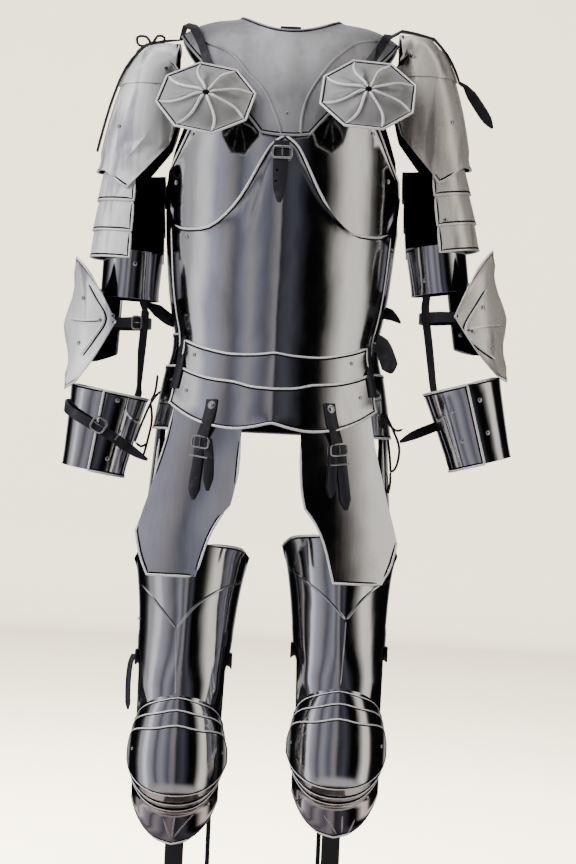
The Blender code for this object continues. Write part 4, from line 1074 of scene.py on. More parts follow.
    @staticmethod
    def chained(links: dict) -> list[tuple[list[bmesh.types.BMVert], bool]]:
        """Puts linked points in order.

        Args:
            links: Each point's neighbours.

        Returns:
            Each line of at least four points, and whether it is a ring.
        """
        left = set(links)
        runs = []
        starts = [v for v in links if len(links[v]) == 1] + list(links)
        for start in starts:
            if start not in left:
                continue
            run = [start]
            left.discard(start)
            while True:
                nexts = [v for v in links[run[-1]] if v in left]
                if not nexts:
                    break
                run.append(nexts[0])
                left.discard(nexts[0])
            closed = len(run) > 3 and start in links[run[-1]]
            if len(run) >= 4:
                runs.append((run, closed))
        return runs


@dataclass(frozen=True)
class Rim:
    """A place in the middle of a plate's edge, with the ways off the plate and out of its face."""

    point: Vector
    off: Vector
    out: Vector

    def inside(self, reach: float) -> Vector:
        """The place on the plate's outer face at a distance from its edge."""
        return self.point - self.off * reach + self.out * (0.5 * WALL + 0.15 * MM)


@dataclass(frozen=True)
class Turned:
    """Eased shading normals, for hammered plates whose polish reads flatter than their form."""

    up: float = 0.45
    down: float = 0.5
    x: Mark | None = None
    turn: Mark = (0.0, 0.0)
    share: float = 0.85

    def eased(self, point: Vector, normal: Vector) -> Vector:
        """The eased normal at a point.

        Args:
            point: The point.
            normal: The form's own normal.

        Returns:
            The normal that the light sees.
        """
        eased = Vector((normal.x, normal.y, normal.z * (self.up if normal.z > 0 else self.down)))
        if self.x:
            part = (point.x - self.x[0]) / (self.x[1] - self.x[0])
            angle = math.radians(self.turn[0] + (self.turn[1] - self.turn[0]) * max(0.0, min(1.0, part)))
            eased = eased.normalized().lerp(Vector((math.sin(angle), -math.cos(angle), 0.0)), self.share)
        return eased.normalized()

    def apply(self, mesh: bpy.types.Mesh) -> None:
        """Sets the normals of a plate's outer side.

        Args:
            mesh: The plate's mesh.
        """
        normals = [corner.vector.copy() for corner in mesh.corner_normals]
        for face in mesh.polygons:
            if face.material_index:
                continue
            for corner in face.loop_indices:
                normal = normals[corner]
                if face.normal.dot(normal) > 0.8 and face.area > 4e-6:
                    point = mesh.vertices[mesh.loops[corner].vertex_index].co
                    normals[corner] = self.eased(point, normal)
        mesh.normals_split_custom_set(normals)


@dataclass(frozen=True)
class Lamp:
    """A soft light: where it is, the point that it faces, its width and height, its watts and its colour."""

    name: str
    place: Triple
    aim: Triple
    size: Mark
    power: float
    colour: Triple


@dataclass
class Studio:
    """The camera, the plain pale room and the soft light that the polished steel mirrors."""

    EYE = Vector((0.022, -3.4, 0.953))
    lens: float = 104.0
    sensor: float = 36.0
    roll: float = math.radians(2.73)
    room_radius: float = 8.5
    room_height: float = 9.0
    cove: float = 0.5
    room_sides: int = 96
    air_strength: float = 4.0
    floor_pale: Triple = (0.20, 0.19, 0.18)
    floor_red: Triple = (0.010, 0.0025, 0.004)
    skirting: Triple = (0.13, 0.125, 0.125)
    ceiling_right: Triple = (0.12, 0.115, 0.11)
    ceiling_left: Triple = (0.40, 0.40, 0.41)
    paint: tuple[Triple, Triple] = ((0.80, 0.715, 0.520), (0.83, 0.750, 0.570))
    lamps: ClassVar[tuple["Lamp", ...]] = (
        Lamp("key", (-2.4, -1.8, 2.6), (0.0, 0.0, 1.1), (1.6, 1.6), 230.0, (1.0, 0.99, 0.97)),
        Lamp("fill", (2.2, -2.4, 1.8), (0.0, 0.0, 1.1), (1.6, 1.6), 50.0, (1.0, 0.97, 0.93)),
        Lamp("wall_wash", (-1.6, 1.2, 2.9), (-0.6, 4.0, 1.2), (1.5, 1.0), 900.0, (1.0, 0.99, 0.96)),
        Lamp("wall_right", (1.6, 1.2, 2.6), (0.6, 4.0, 0.9), (1.5, 1.0), 300.0, (1.0, 0.98, 0.93)),
    )
    tints: ClassVar[dict[str, Triple]] = {
        "grey": (1.0, 0.985, 1.0),
        "blue": (0.91, 0.93, 1.16),
        "plum": (1.03, 0.97, 1.02),
        "cream": (1.0, 0.95, 0.87),
    }
    bands: ClassVar[tuple[tuple[float, float, str], ...]] = (
        (-180, 0.16, "grey"), (-162, 0.09, "grey"), (-152, 0.001, "blue"), (-123, 0.001, "blue"),
        (-114, 0.020, "grey"), (-105, 0.12, "grey"), (-96, 0.13, "grey"), (-88, 0.26, "grey"), (-80, 0.28, "grey"),
        (-72, 0.14, "blue"), (-55, 0.075, "plum"), (-47, 0.030, "blue"), (-40, 0.075, "blue"), (-32, 0.095, "grey"),
        (-24, 0.060, "blue"), (-17, 0.032, "blue"), (-10, 0.070, "plum"), (-3, 0.075, "plum"), (3, 0.008, "blue"),
        (18, 0.022, "blue"), (25, 0.008, "blue"), (32, 0.0005, "plum"), (48, 0.0005, "plum"), (55, 0.055, "cream"),
        (62, 0.15, "cream"), (70, 0.29, "cream"), (86, 0.27, "cream"), (94, 0.04, "cream"), (101, 0.001, "plum"),
        (152, 0.001, "plum"), (162, 0.09, "grey"), (180, 0.16, "grey"),
    )

    def camera(self) -> None:
        """Makes the camera at the photograph's viewing angle."""
        data = bpy.data.cameras.new("camera")
        data.sensor_fit = "AUTO"
        data.sensor_width = self.sensor
        data.lens = self.lens
        piece = linked("camera", data)
        right = Vector((math.cos(self.roll), 0.0, math.sin(self.roll)))
        up = Vector((-math.sin(self.roll), 0.0, math.cos(self.roll)))
        back = Vector((0.0, -1.0, 0.0))
        turn = Matrix((right, up, back)).transposed().to_4x4()
        piece.matrix_world = Matrix.Translation(self.EYE) @ turn
        bpy.context.scene.camera = piece

    def room(self) -> None:
        """Makes the floor and a round wall, seen by the camera alone."""
        maker = MeshMaker()
        flat = self.room_radius - self.cove
        profile = [(0.01, 0.0), (flat, 0.0)]
        for step in range(1, 9):
            turn = math.pi / 2 * step / 8
            profile.append((flat + self.cove * math.sin(turn), self.cove - self.cove * math.cos(turn)))
        profile.append((self.room_radius, self.room_height))
        for radius, height in profile:
            for step in range(self.room_sides):
                turn = 2 * math.pi * step / self.room_sides
                maker.points.append(Vector((radius * math.cos(turn), radius * math.sin(turn), height)))
        for low in range(0, (len(profile) - 1) * self.room_sides, self.room_sides):
            high = low + self.room_sides
            for place in range(self.room_sides):
                after = (place + 1) % self.room_sides
                maker.faces.append((low + place, low + after, high + after, high + place))
        maker.faces.append(tuple(range(self.room_sides)))
        mesh = bpy.data.meshes.new("room")
        mesh.from_pydata([tuple(p) for p in maker.points], [], maker.faces)
        mesh.shade_smooth()
        material = bpy.data.materials.new("pale_paint")
        material.use_nodes = True
        graph = Graph(material.node_tree)
        cloud = graph.noise(graph.coordinates(), 3.0, 4.0)
        colour = graph.mixed(cloud, *self.paint)
        graph.surface(Base_Color=colour, Roughness=0.9, Emission_Color=colour, Emission_Strength=1.5)
        mesh.materials.append(material)
        piece = linked("room", mesh)
        piece.visible_glossy = False
        piece.visible_diffuse = False
        piece.visible_shadow = False

    def air(self) -> None:
        """Paints the light that the steel mirrors: bands around, a pale ceiling, and a dull red floor in front."""
        world = bpy.data.worlds.new("studio_air")
        world.use_nodes = True
        bpy.context.scene.world = world
        graph = Graph(world.node_tree)
        parts = graph.node("ShaderNodeSeparateXYZ", {}, {"Vector": graph.coordinates("Generated")})
        x, y, z = (Value(graph, parts.outputs[place]) for place in range(3))
        turn = x.maths("ARCTAN2", y * -1.0) * (1 / (2 * math.pi)) + 0.5
        stops = []
        for angle, level, tint in self.bands:
            stops.append((angle / 360 + 0.5, tuple(level * part for part in self.tints[tint])))
        ring = graph.node("ShaderNodeValToRGB", {"stops": stops}, {"Fac": turn}).outputs[0]
        front = (y * -1.0).step(0.25, 0.6)
        floor = graph.mixed(front, self.floor_pale, self.floor_red)
        pale = graph.mixed((z * -1.0).step(0.48, 0.62), ring, self.skirting)
        lower = graph.mixed((z * -1.0).step(0.68, 0.80), pale, floor)
        left = (x * -1.0).step(-0.25, 0.25)
        ceiling = graph.mixed(left, self.ceiling_right, self.ceiling_left)
        whole = graph.mixed(z.step(0.82, 0.98), lower, ceiling)
        shader = graph.node("ShaderNodeBackground", {}, {"Color": whole, "Strength": self.air_strength})
        graph.node("ShaderNodeOutputWorld", {}, {"Surface": shader.outputs[0]})

    def lights(self) -> None:
        """Lights the room and the leather with soft lamps that the steel doesn't mirror."""
        for lamp in self.lamps:
            data = bpy.data.lights.new(lamp.name, "AREA")
            data.shape = "RECTANGLE"
            data.size, data.size_y = lamp.size
            data.energy = lamp.power
            data.color = lamp.colour
            piece = linked(lamp.name, data)
            place = Vector(lamp.place)
            piece.location = place
            piece.rotation_euler = (Vector(lamp.aim) - place).to_track_quat("-Z", "Y").to_euler()
            piece.visible_camera = False
            piece.visible_glossy = False


# Trim that several sub-assemblies use


@dataclass
class Trim:
    """Small pieces that lie on plates: rivets, raised lines, straps, buckles and laces."""

    shop: Shop

    def rivets(self, name: str, nodes: str | tuple[str, ...], marks: Marks,
               radius: float = 3.4 * MM, rim: float = 0.0) -> None:
        """Sets rivets where the camera sees them.

        Args:
            name: The piece's name.
            nodes: The plates that they sit on.
            marks: Their points on the plane y = 0, in millimetres.
            radius: A head's radius.
            rim: A washer's radius, or 0.
        """
        maker = MeshMaker()
        for across, up in marks:
            spot = self.shop.spot(nodes, across, up)
            if spot:
                maker.dome(spot, radius, 0.55 * radius, rim)
        if maker.faces:
            self.shop.put(maker, name, "fitting_steel", nodes if isinstance(nodes, str) else nodes[0])

    def raised_line(self, maker: MeshMaker, node: str, marks: Marks, radius: float,
                    flat: float = 0.8) -> None:
        """Adds a raised line on a plate.

        Args:
            maker: The piece that it goes into.
            node: The plate.
            marks: Its points on the plane y = 0, in millimetres.
            radius: Half its width.
            flat: Its height as a share of half its width.
        """
        spots = self.shop.line(node, marks)
        if len(spots) > 2:
            maker.tube([spot.raised(-0.1 * MM) for spot in spots], radius, [spot.normal for spot in spots], flat, 10)

    def raised_lines(self, name: str, node: str, lines: list[Marks], radii: tuple[float, ...], flat: float,
                     finish: str) -> None:
        """Adds one piece of raised lines on a plate.

        Args:
            name: The piece's name.
            node: The plate.
            lines: Each line's points on the plane y = 0, in millimetres.
            radii: Half of each line's width. The last holds for all lines after it.
            flat: Their height as a share of half their width.
            finish: Their finish's name.
        """
        maker = MeshMaker()
        for place, line in enumerate(lines):
            self.raised_line(maker, node, line, radii[min(place, len(radii) - 1)], flat)
        self.shop.put(maker, name, finish, node)

    def laid(self, nodes: tuple[str, ...], marks: Marks, lift: float,
             ease: int = 5) -> tuple[list[Vector], list[Vector]]:
        """A line that lies on plates and bridges the steps between them.

        Args:
            nodes: The plates.
            marks: Its points on the plane y = 0, in millimetres.
            lift: How far it stands off them.
            ease: How often it is smoothed.

        Returns:
            Its points and outward directions.
        """
        plane = smooth_line([Vector((x * MM, 0.0, z * MM)) for x, z in marks], 0.005)
        spots = [spot for spot in (self.shop.spot(nodes, p.x / MM, p.z / MM) for p in plane) if spot]
        points = [spot.raised(lift) for spot in spots]
        ups = [spot.normal for spot in spots]
        for _ in range(ease):
            for place in range(1, len(points) - 1):
                mean = (points[place - 1] + points[place + 1]) / 2
                if (mean - points[place]).dot(ups[place]) > 0:
                    points[place] = points[place].lerp(mean, 0.7)
            ups = [ups[0]] + [(ups[i - 1] + ups[i] * 2 + ups[i + 1]).normalized() for i in range(1, len(ups) - 1)] \
                + [ups[-1]]
        return points, ups

    @staticmethod
    def pointed(count: int, width: float, tip: int = 3, start: float = 1.0) -> list[float]:
        """Widths along a strap with a pointed end.

        Args:
            count: How many places it has.
            width: Its full width.
            tip: How many places its point takes.
            start: The share of its width at its beginning.

        Returns:
            The width at each place.
        """
        widths = []
        for place in range(count):
            left = count - 1 - place
            share = 1.0 if left >= tip else 0.16 + 0.84 * left / tip
            widths.append(width * share * (start if place == 0 else 1.0))
        return widths

    def loose(self, name: str, node: str, points: list[Vector], width: float, up: Vector,
              thick: float = 2.2 * MM, tip: int = 3) -> None:
        """Adds a strap's free end, held where it starts.

        Args:
            name: Its name.
            node: The node that it hangs from.
            points: Its middle line.
            width: Its width.
            up: The direction that its flat side faces.
            thick: Its thickness.
            tip: How many places its point takes.
        """
        path = smooth_line(points, 0.006)
        maker = MeshMaker()
        maker.band(path, [up] * len(path), self.pointed(len(path), width, tip), thick)
        self.shop.put(maker, name, "strap_leather", node)

    def lace(self, name: str, node: str, runs: list[list[Vector]], radius: float = 1.5 * MM) -> None:
        """Adds leather lace in one or more runs.

        Args:
            name: Its name.
            node: The node that it is tied to.
            runs: The middle line of each run.
            radius: Half its thickness.
        """
        maker = MeshMaker()
        for run in runs:
            maker.tube(smooth_line(run, 0.004), radius, sides=6)
        self.shop.put(maker, name, "strap_leather", node)

    def holes(self, maker: MeshMaker, node: str, marks: Marks, radius: float = 1.7 * MM) -> None:
        """Adds small eyelets on a strap."""
        for across, up in marks:
            spot = self.shop.spot(node, across, up)
            if spot:
                maker.dome(spot, radius, 0.35 * MM)


# Sub-assemblies


@dataclass
class SubAssembly:
    """A group of nodes, with what makes its plates and its trim."""

    trim: Trim
    work: PlateWork


@dataclass
class Limb(SubAssembly):
    """A sub-assembly that the suit has on both sides."""

    side: Side


@dataclass
class Torso(SubAssembly):
    """Backplate, breastplate, plackart and the strap that buckles the plackart to the breastplate."""

    plates: tuple[str, ...] = ("backplate", "breastplate", "plackart")
    strap_holes: tuple[Mark, ...] = ((-9, 1325), (-10, 1309), (-11, 1294), (-13, 1278))

    def build(self) -> None:
        """Makes the plates, the strap and its buckle."""
        for node in self.plates:
            self.work.remade(node, turned=Turned(0.6, 0.3))
        self.work.strap("chest_strap")
        self.buckle()
        self.trim.rivets("breastplate_rivets", "breastplate", [(-127, 1352), (118, 1364), (-147, 1285), (143, 1300)])
        self.trim.rivets("plackart_rivets", "plackart", [(-128, 1212), (120, 1226)], 3.0 * MM)
        self.side_straps()

    def buckle(self) -> None:
        """Makes the buckle at the plackart's point and the strap's eyelets."""
        shop = self.trim.shop
        spot = shop.spot("chest_strap", -4, 1327)
        maker = MeshMaker()
        maker.frame(Spot(spot.point + Vector((0, 0, 0.006)), spot.normal), Vector((0, 0, 1)), 25 * MM, 15 * MM,
                    1.6 * MM, 1.2 * MM)
        shop.put(maker, "chest_buckle", "fitting_steel", "chest_strap")
        # The eyelets are near-black discs: painted shade standing in for the strap's holes.
        eyelets = MeshMaker()
        self.trim.holes(eyelets, "chest_strap", list(self.strap_holes))
        shop.put(eyelets, "chest_strap_eyelets", "inner_steel", "chest_strap")

    def side_straps(self) -> None:
        """Makes the side straps' ends, which stand out from under the arms at the waist."""
        back = Vector((0.0, -1.0, 0.15))
        ends = {
            "right": [(-0.138, 0.020, 1.096), (-0.148, 0.008, 1.099), (-0.164, 0.000, 1.110), (-0.181, -0.004, 1.119)],
            "left": [(0.140, 0.020, 1.124), (0.148, 0.008, 1.121), (0.158, 0.000, 1.116), (0.168, -0.004, 1.108)],
        }
        for side, points in ends.items():
            name = f"side_strap_end_{side}"
            self.trim.loose(name, "backplate", [Vector(p) for p in points], 17 * MM, back)


@dataclass
class Collar(SubAssembly):
    """The gorget: a front plate with two flutes that run down to its point, and a back plate."""

    flutes: tuple[tuple[Mark, ...], ...] = (
        ((-120, 1479), (-81, 1465), (-55, 1438), (-35, 1419), (-24, 1401), (-13, 1377), (-7, 1359)),
        ((119, 1490), (92, 1487), (63, 1465), (45, 1442), (28, 1412), (21, 1385), (20, 1360)),
    )

    def build(self) -> None:
        """Makes both plates, the flutes and the rivet."""
        self.work.remade("gorget_front", "satin_steel")
        self.work.remade("gorget_back", "satin_steel")
        flutes = [list(flute) for flute in self.flutes]
        self.trim.raised_lines("gorget_flutes", "gorget_front", flutes, (2.4 * MM,), 0.9, "satin_steel")
        self.trim.rivets("gorget_rivets", "gorget_front", [(0, 1387), (-134, 1476), (131, 1487)], 2.8 * MM)


@dataclass
class Skirt(SubAssembly):
    """Fauld lames in front, culet lames behind, four tassets and their buckled straps."""

    strap_width: float = 21 * MM
    tail_width: float = 12 * MM
    leather: float = 2.6 * MM

    def build(self) -> None:
        """Makes the lames, the tassets and the straps."""
        for node in ("fauld_lame_upper", "fauld_lame_lower", "culet_lame_upper", "culet_lame_lower"):
            self.work.remade(node, turned=Turned(0.5, 0.35))
        turned = {
            Side.RIGHT: Turned(0.5, 0.4, (-0.190, -0.040), (-36.0, -18.0)),
            Side.LEFT: Turned(0.5, 0.4, (0.042, 0.180), (19.0, 42.0)),
        }
        for side in Side:
            self.work.remade(f"tasset_front_{side.word}", turned=turned[side])
            self.work.remade(f"tasset_side_{side.word}")
        marks = {
            Side.RIGHT: ([(-83, 992), (-84, 975), (-90, 955), (-95, 936)],
                         [(-96, 940), (-99, 905), (-102, 880), (-104, 855)],
                         [(-87, 938), (-84, 912), (-84, 890), (-85, 868)]),
            Side.LEFT: ([(76, 994), (79, 975), (85, 955), (91, 934)],
                        [(94, 938), (98, 905), (103, 875), (107, 850)],
                        [(85, 936), (85, 910), (85, 885), (85, 866)]),
        }
        for side, (top, outer, inner) in marks.items():
            self.strap(side, top, outer, inner)
        self.hinges()
        self.laces()

    def strap(self, side: Side, top: Marks, outer: Marks,
              inner: Marks) -> None:
        """Makes one tasset strap: its riveted top, its two tails, its buckle and keeper.

        Args:
            side: The suit's side.
            top: The marks of its upper part.
            outer: The marks of its long tail.
            inner: The marks of its short tail.
        """
        shop = self.trim.shop
        node = f"tasset_strap_{side.word}"
        plates = ("fauld_lame_lower", f"tasset_front_{side.word}")
        maker = MeshMaker()
        points, ups = self.trim.laid(plates, top, 0.4 * MM)
        maker.band(points, ups, [self.strap_width * 0.8] * len(points), self.leather)
        for marks, lift, width in ((outer, 0.6 * MM, self.tail_width * 1.15), (inner, 0.4 * MM, self.tail_width)):
            points, ups = self.trim.laid(plates, marks, lift)
            maker.band(points, ups, self.trim.pointed(len(points), width), self.leather)
        piece = shop.put(maker, f"tasset_strap_leather_{side.word}", "strap_leather", node)
        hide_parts(node)
        metal = MeshMaker()
        across, up = top[-1]
        spot = shop.spot(plates, across, up - 2)
        along = Vector((-0.12 * side.value, 0, 1))
        metal.frame(spot, along, 24 * MM, 15 * MM, 1.3 * MM, 3.4 * MM)
        spot = shop.spot(plates, across - 2 * side.value * -1, up - 22)
        metal.keeper(spot, along, 26 * MM, 1.2 * MM, 3.9 * MM)
        head = shop.spot(plates, top[0][0] + 1, top[0][1] - 8)
        metal.dome(Spot(head.raised(3.0 * MM), head.normal), 4.6 * MM, 2.2 * MM, 5.6 * MM)
        shop.put(metal, f"tasset_buckle_{side.word}", "fitting_steel", node)

    def hinges(self) -> None:
        """Makes the leathers that join the fauld to the culet at each hip, with their rivets."""
        for side in Side:
            hand = side.value
            maker = MeshMaker()
            marks = [(hand * 124, 1082), (hand * 127, 1060), (hand * 129, 1036), (hand * 135, 1005)]
            plates = ("fauld_lame_upper", "fauld_lame_lower", "culet_lame_upper", "culet_lame_lower")
            points, ups = self.trim.laid(plates, marks, 0.5 * MM)
            if len(points) > 3:
                maker.band(points, ups, [15 * MM] * len(points), 2.2 * MM)
                self.trim.shop.put(maker, f"hip_leather_{side.word}", "strap_leather", "culet_lame_upper")
        self.trim.rivets("fauld_rivets", ("fauld_lame_upper", "fauld_lame_lower"),
                         [(-110, 1052), (-119, 1003), (104, 1050), (118, 1004)], 2.8 * MM)
        tab = [Vector(p) for p in ((0.1340, -0.052, 1.078), (0.1420, -0.050, 1.074), (0.1500, -0.048, 1.058),
                                   (0.1570, -0.046, 1.038))]
        self.trim.loose("hip_tab", "culet_lame_upper", tab, 24 * MM, Vector((0.25, -1.0, 0.1)), tip=2)

    def laces(self) -> None:
        """Makes the thongs that tie each side tasset to the culet."""
        marks_of = {
            Side.LEFT: [
                [(150, 985), (160, 968), (172, 940), (170, 915), (163, 905)],
                [(150, 978), (156, 950), (161, 925), (163, 905)],
                [(163, 905), (162, 890), (160, 876)],
                [(152, 975), (166, 962), (176, 964)],
            ],
            Side.RIGHT: [
                [(-152, 1000), (-164, 985), (-176, 955), (-184, 930)],
                [(-158, 1022), (-160, 1000), (-166, 985)],
                [(-166, 985), (-163, 960), (-168, 930), (-172, 912)],
                [(-184, 930), (-176, 924), (-166, 930)],
            ],
        }
        for side, marks in marks_of.items():
            node = f"tasset_side_{side.word}"
            runs = []
            for run in marks:
                points = []
                for across, up in run:
                    spot = self.trim.shop.spot((node, "culet_lame_lower", "culet_lame_upper"), across, up)
                    if spot:
                        points.append(spot.raised(2.2 * MM))
                    else:
                        depth = points[-1].y if points else -0.02
                        points.append(Vector((across * MM, depth, up * MM)))
                runs.append(points)
            self.trim.lace(f"hip_lace_{side.word}", node, runs, 1.7 * MM)


@dataclass
class Shoulder(Limb):
    """Besagew, pauldron, three arm lames and the strap that runs over the pauldron."""

    disc_radius: float = 65 * MM
    disc_turn: Mark = (10.0, 18.0)
    disc_place: Triple = (0.1055, -0.1480, 1.3890)
    disc_lean: float = 38.0

    def build(self) -> None:
        """Makes the plates and their trim."""
        word = self.side.word
        self.work.remade(f"besagew_{word}", "brushed_disc_steel", bead=1.7 * MM, back="inner_steel")
        self.ribs()
        # The right side takes the painted-light copy, the left the painted-shade copy.
        finish = "pale_steel" if self.side is Side.RIGHT else "warm_steel"
        for node in (f"pauldron_top_{word}", f"pauldron_main_{word}", f"arm_lame_a_{word}", f"arm_lame_b_{word}",
                     f"arm_lame_c_{word}"):
            self.work.remade(node, finish, turned=Turned(0.7, 0.7), inner_bare=node.startswith("arm_lame"))
        self.work.strap(f"pauldron_strap_{word}")
        marks = {
            Side.RIGHT: {"pauldron_top_right": [(-168, 1440)], "pauldron_main_right": [(-227, 1358)],
                         "arm_lame_b_right": [(-219, 1192)]},
            Side.LEFT: {"pauldron_top_left": [(166, 1473)], "pauldron_main_left": [(225, 1385)],
                        "arm_lame_b_left": [(222, 1252)]},
        }
        for node, places in marks[self.side].items():
            self.trim.rivets(f"{node}_rivet", node, places, 3.2 * MM)
        if self.side is Side.RIGHT:
            self.bow()

    def ribs(self) -> None:
        """Makes the disc's eight raised ribs and its centre rivet."""
        shop = self.trim.shop
        node = f"besagew_{self.side.word}"
        turn = math.radians(self.disc_turn[0 if self.side is Side.RIGHT else 1])
        rise = 0.007 * self.side.value
        centre = Vector((self.disc_place[0] * self.side.value, self.disc_place[1], self.disc_place[2] + rise))
        lean = Matrix.Rotation(-math.radians(self.disc_lean), 3, "X")
        toward = lean @ Vector((0, 1, 0))
        maker = MeshMaker()
        for rib in range(8):
            bearing = turn + math.pi / 4 * rib
            spots = []
            for step in range(13):
                reach = self.disc_radius * (0.07 + 0.88 * step / 12)
                bent = bearing + 0.16 * math.sin(math.pi * step / 12)
                flat = Vector((reach * math.cos(bent), -0.06, reach * math.sin(bent)))
                spot = shop.near(node, centre + lean @ flat, toward)
                if spot:
                    spots.append(spot)
            if len(spots) > 3:
                maker.tube([spot.raised(0.2 * MM) for spot in spots], 2.1 * MM, [spot.normal for spot in spots], 0.9, 8)
        # The ribs take the bright finish: a painted highlight.
        shop.put(maker, f"besagew_ribs_{self.side.word}", "border_steel", node)
        hub = shop.near(node, centre + lean @ Vector((0, -0.06, 0)), toward)
        if hub:
            head = MeshMaker()
            head.dome(hub, 3.6 * MM, 2.4 * MM, 5.0 * MM)
            shop.put(head, f"besagew_hub_{self.side.word}", "inner_steel", node)

    def bow(self) -> None:
        """Makes the lace bow on top of the right shoulder."""
        node = "pauldron_top_right"
        knot = Vector((-0.188, -0.004, 1.470))
        offsets = [
            [(0, 0, 0), (-0.008, -0.006, 0.010), (-0.020, -0.004, 0.009), (-0.017, 0.002, -0.001), (0, 0, 0)],
            [(0, 0, 0), (0.008, -0.006, 0.012), (0.017, -0.004, 0.010), (0.012, 0.002, 0.001), (0, 0, 0)],
            [(0, 0, 0), (-0.010, -0.010, -0.004), (-0.020, -0.014, -0.014)],
            [(0, 0, 0), (0.006, -0.012, -0.003), (0.014, -0.018, -0.006)],
            [(-0.003, -0.003, -0.012), (-0.002, -0.005, 0), (0.003, 0.001, 0.004)],
        ]
        runs = [[knot + Vector(offset) for offset in run] for run in offsets]
        self.trim.lace("shoulder_bow", node, runs, 1.9 * MM)


@dataclass
class Arm(Limb):
    """Upper cannon, couter, vambrace halves and their straps."""

    def build(self) -> None:
        """Makes the plates and their trim."""
        word = self.side.word
        for node in (f"upper_cannon_{word}", f"vambrace_outer_{word}", f"vambrace_inner_{word}"):
            self.work.remade(node)
        # The right couter takes the painted-light copy, the left the painted-shade copy.
        self.work.remade(f"couter_{word}", "pale_steel" if self.side is Side.RIGHT else "warm_steel")
        self.work.strap(f"elbow_strap_{word}")
        self.work.strap(f"vambrace_strap_{word}")
        marks = {
            Side.RIGHT: {
                "upper_cannon_right": [(-228, 1190), (-197, 1172)],
                "couter_right": [(-265, 1122), (-241, 1093), (-268, 1061), (-224, 1100)],
                "vambrace_inner_right": [(-212, 985), (-222, 905)],
            },
            Side.LEFT: {
                "upper_cannon_left": [(197, 1168)],
                "couter_left": [(279, 1135), (266, 1102), (295, 1080), (250, 1096)],
                "vambrace_inner_left": [(244, 992), (259, 952)],
                "vambrace_outer_left": [(281, 1009), (294, 965)],
            },
        }
        for node, places in marks[self.side].items():
            self.trim.rivets(f"{node}_rivets", node, places, 3.3 * MM)
        self.boss()
        self.buckles()

    def boss(self) -> None:
        """Makes the line where the couter's wing meets its boss and the boss's ridge, in the painted-highlight finish,
        with a near-black painted shadow line beside each.
        """
        word = self.side.word
        lines = {
            Side.RIGHT: [[(-262, 1142), (-250, 1122), (-236, 1096), (-250, 1068), (-266, 1044)],
                         [(-283, 1093), (-262, 1092), (-242, 1094)]],
            Side.LEFT: [[(284, 1160), (272, 1138), (257, 1104), (276, 1082), (300, 1066)],
                        [(308, 1112), (285, 1110), (262, 1104)]],
        }
        node = f"couter_{word}"
        # The same lines moved aside a little, for the near-black painted shadow lines.
        beside = [[(x - 3.4 * self.side.value, z - 1.2) for x, z in line] for line in lines[self.side]]
        self.trim.raised_lines(f"couter_lines_{word}", node, lines[self.side], (1.7 * MM,), 0.8, "border_steel")
        self.trim.raised_lines(f"couter_shade_{word}", node, beside, (1.5 * MM,), 0.3, "inner_steel")

    def buckles(self) -> None:
        """Makes the elbow's and the vambrace's buckles."""
        shop = self.trim.shop
        word = self.side.word
        maker = MeshMaker()
        marks = {Side.RIGHT: (-192, 1092), Side.LEFT: (214, 1098)}
        spot = shop.spot(f"elbow_strap_{word}", *marks[self.side])
        if spot:
            maker.frame(spot, Vector((1, 0, 0)), 17 * MM, 15 * MM, 1.3 * MM, 1.6 * MM)
        if self.side is Side.RIGHT:
            spot = shop.spot("vambrace_strap_right", -236, 951)
            if spot:
                maker.frame(spot, Vector((0.86, 0, -0.5)), 19 * MM, 19 * MM, 1.5 * MM, 1.8 * MM)
            spot = shop.spot("vambrace_strap_right", -210, 938)
            if spot:
                maker.keeper(spot, Vector((0.86, 0, -0.5)), 16 * MM, 1.1 * MM, 1.6 * MM)
        if maker.faces:
            shop.put(maker, f"arm_buckles_{word}", "fitting_steel", f"elbow_strap_{word}")


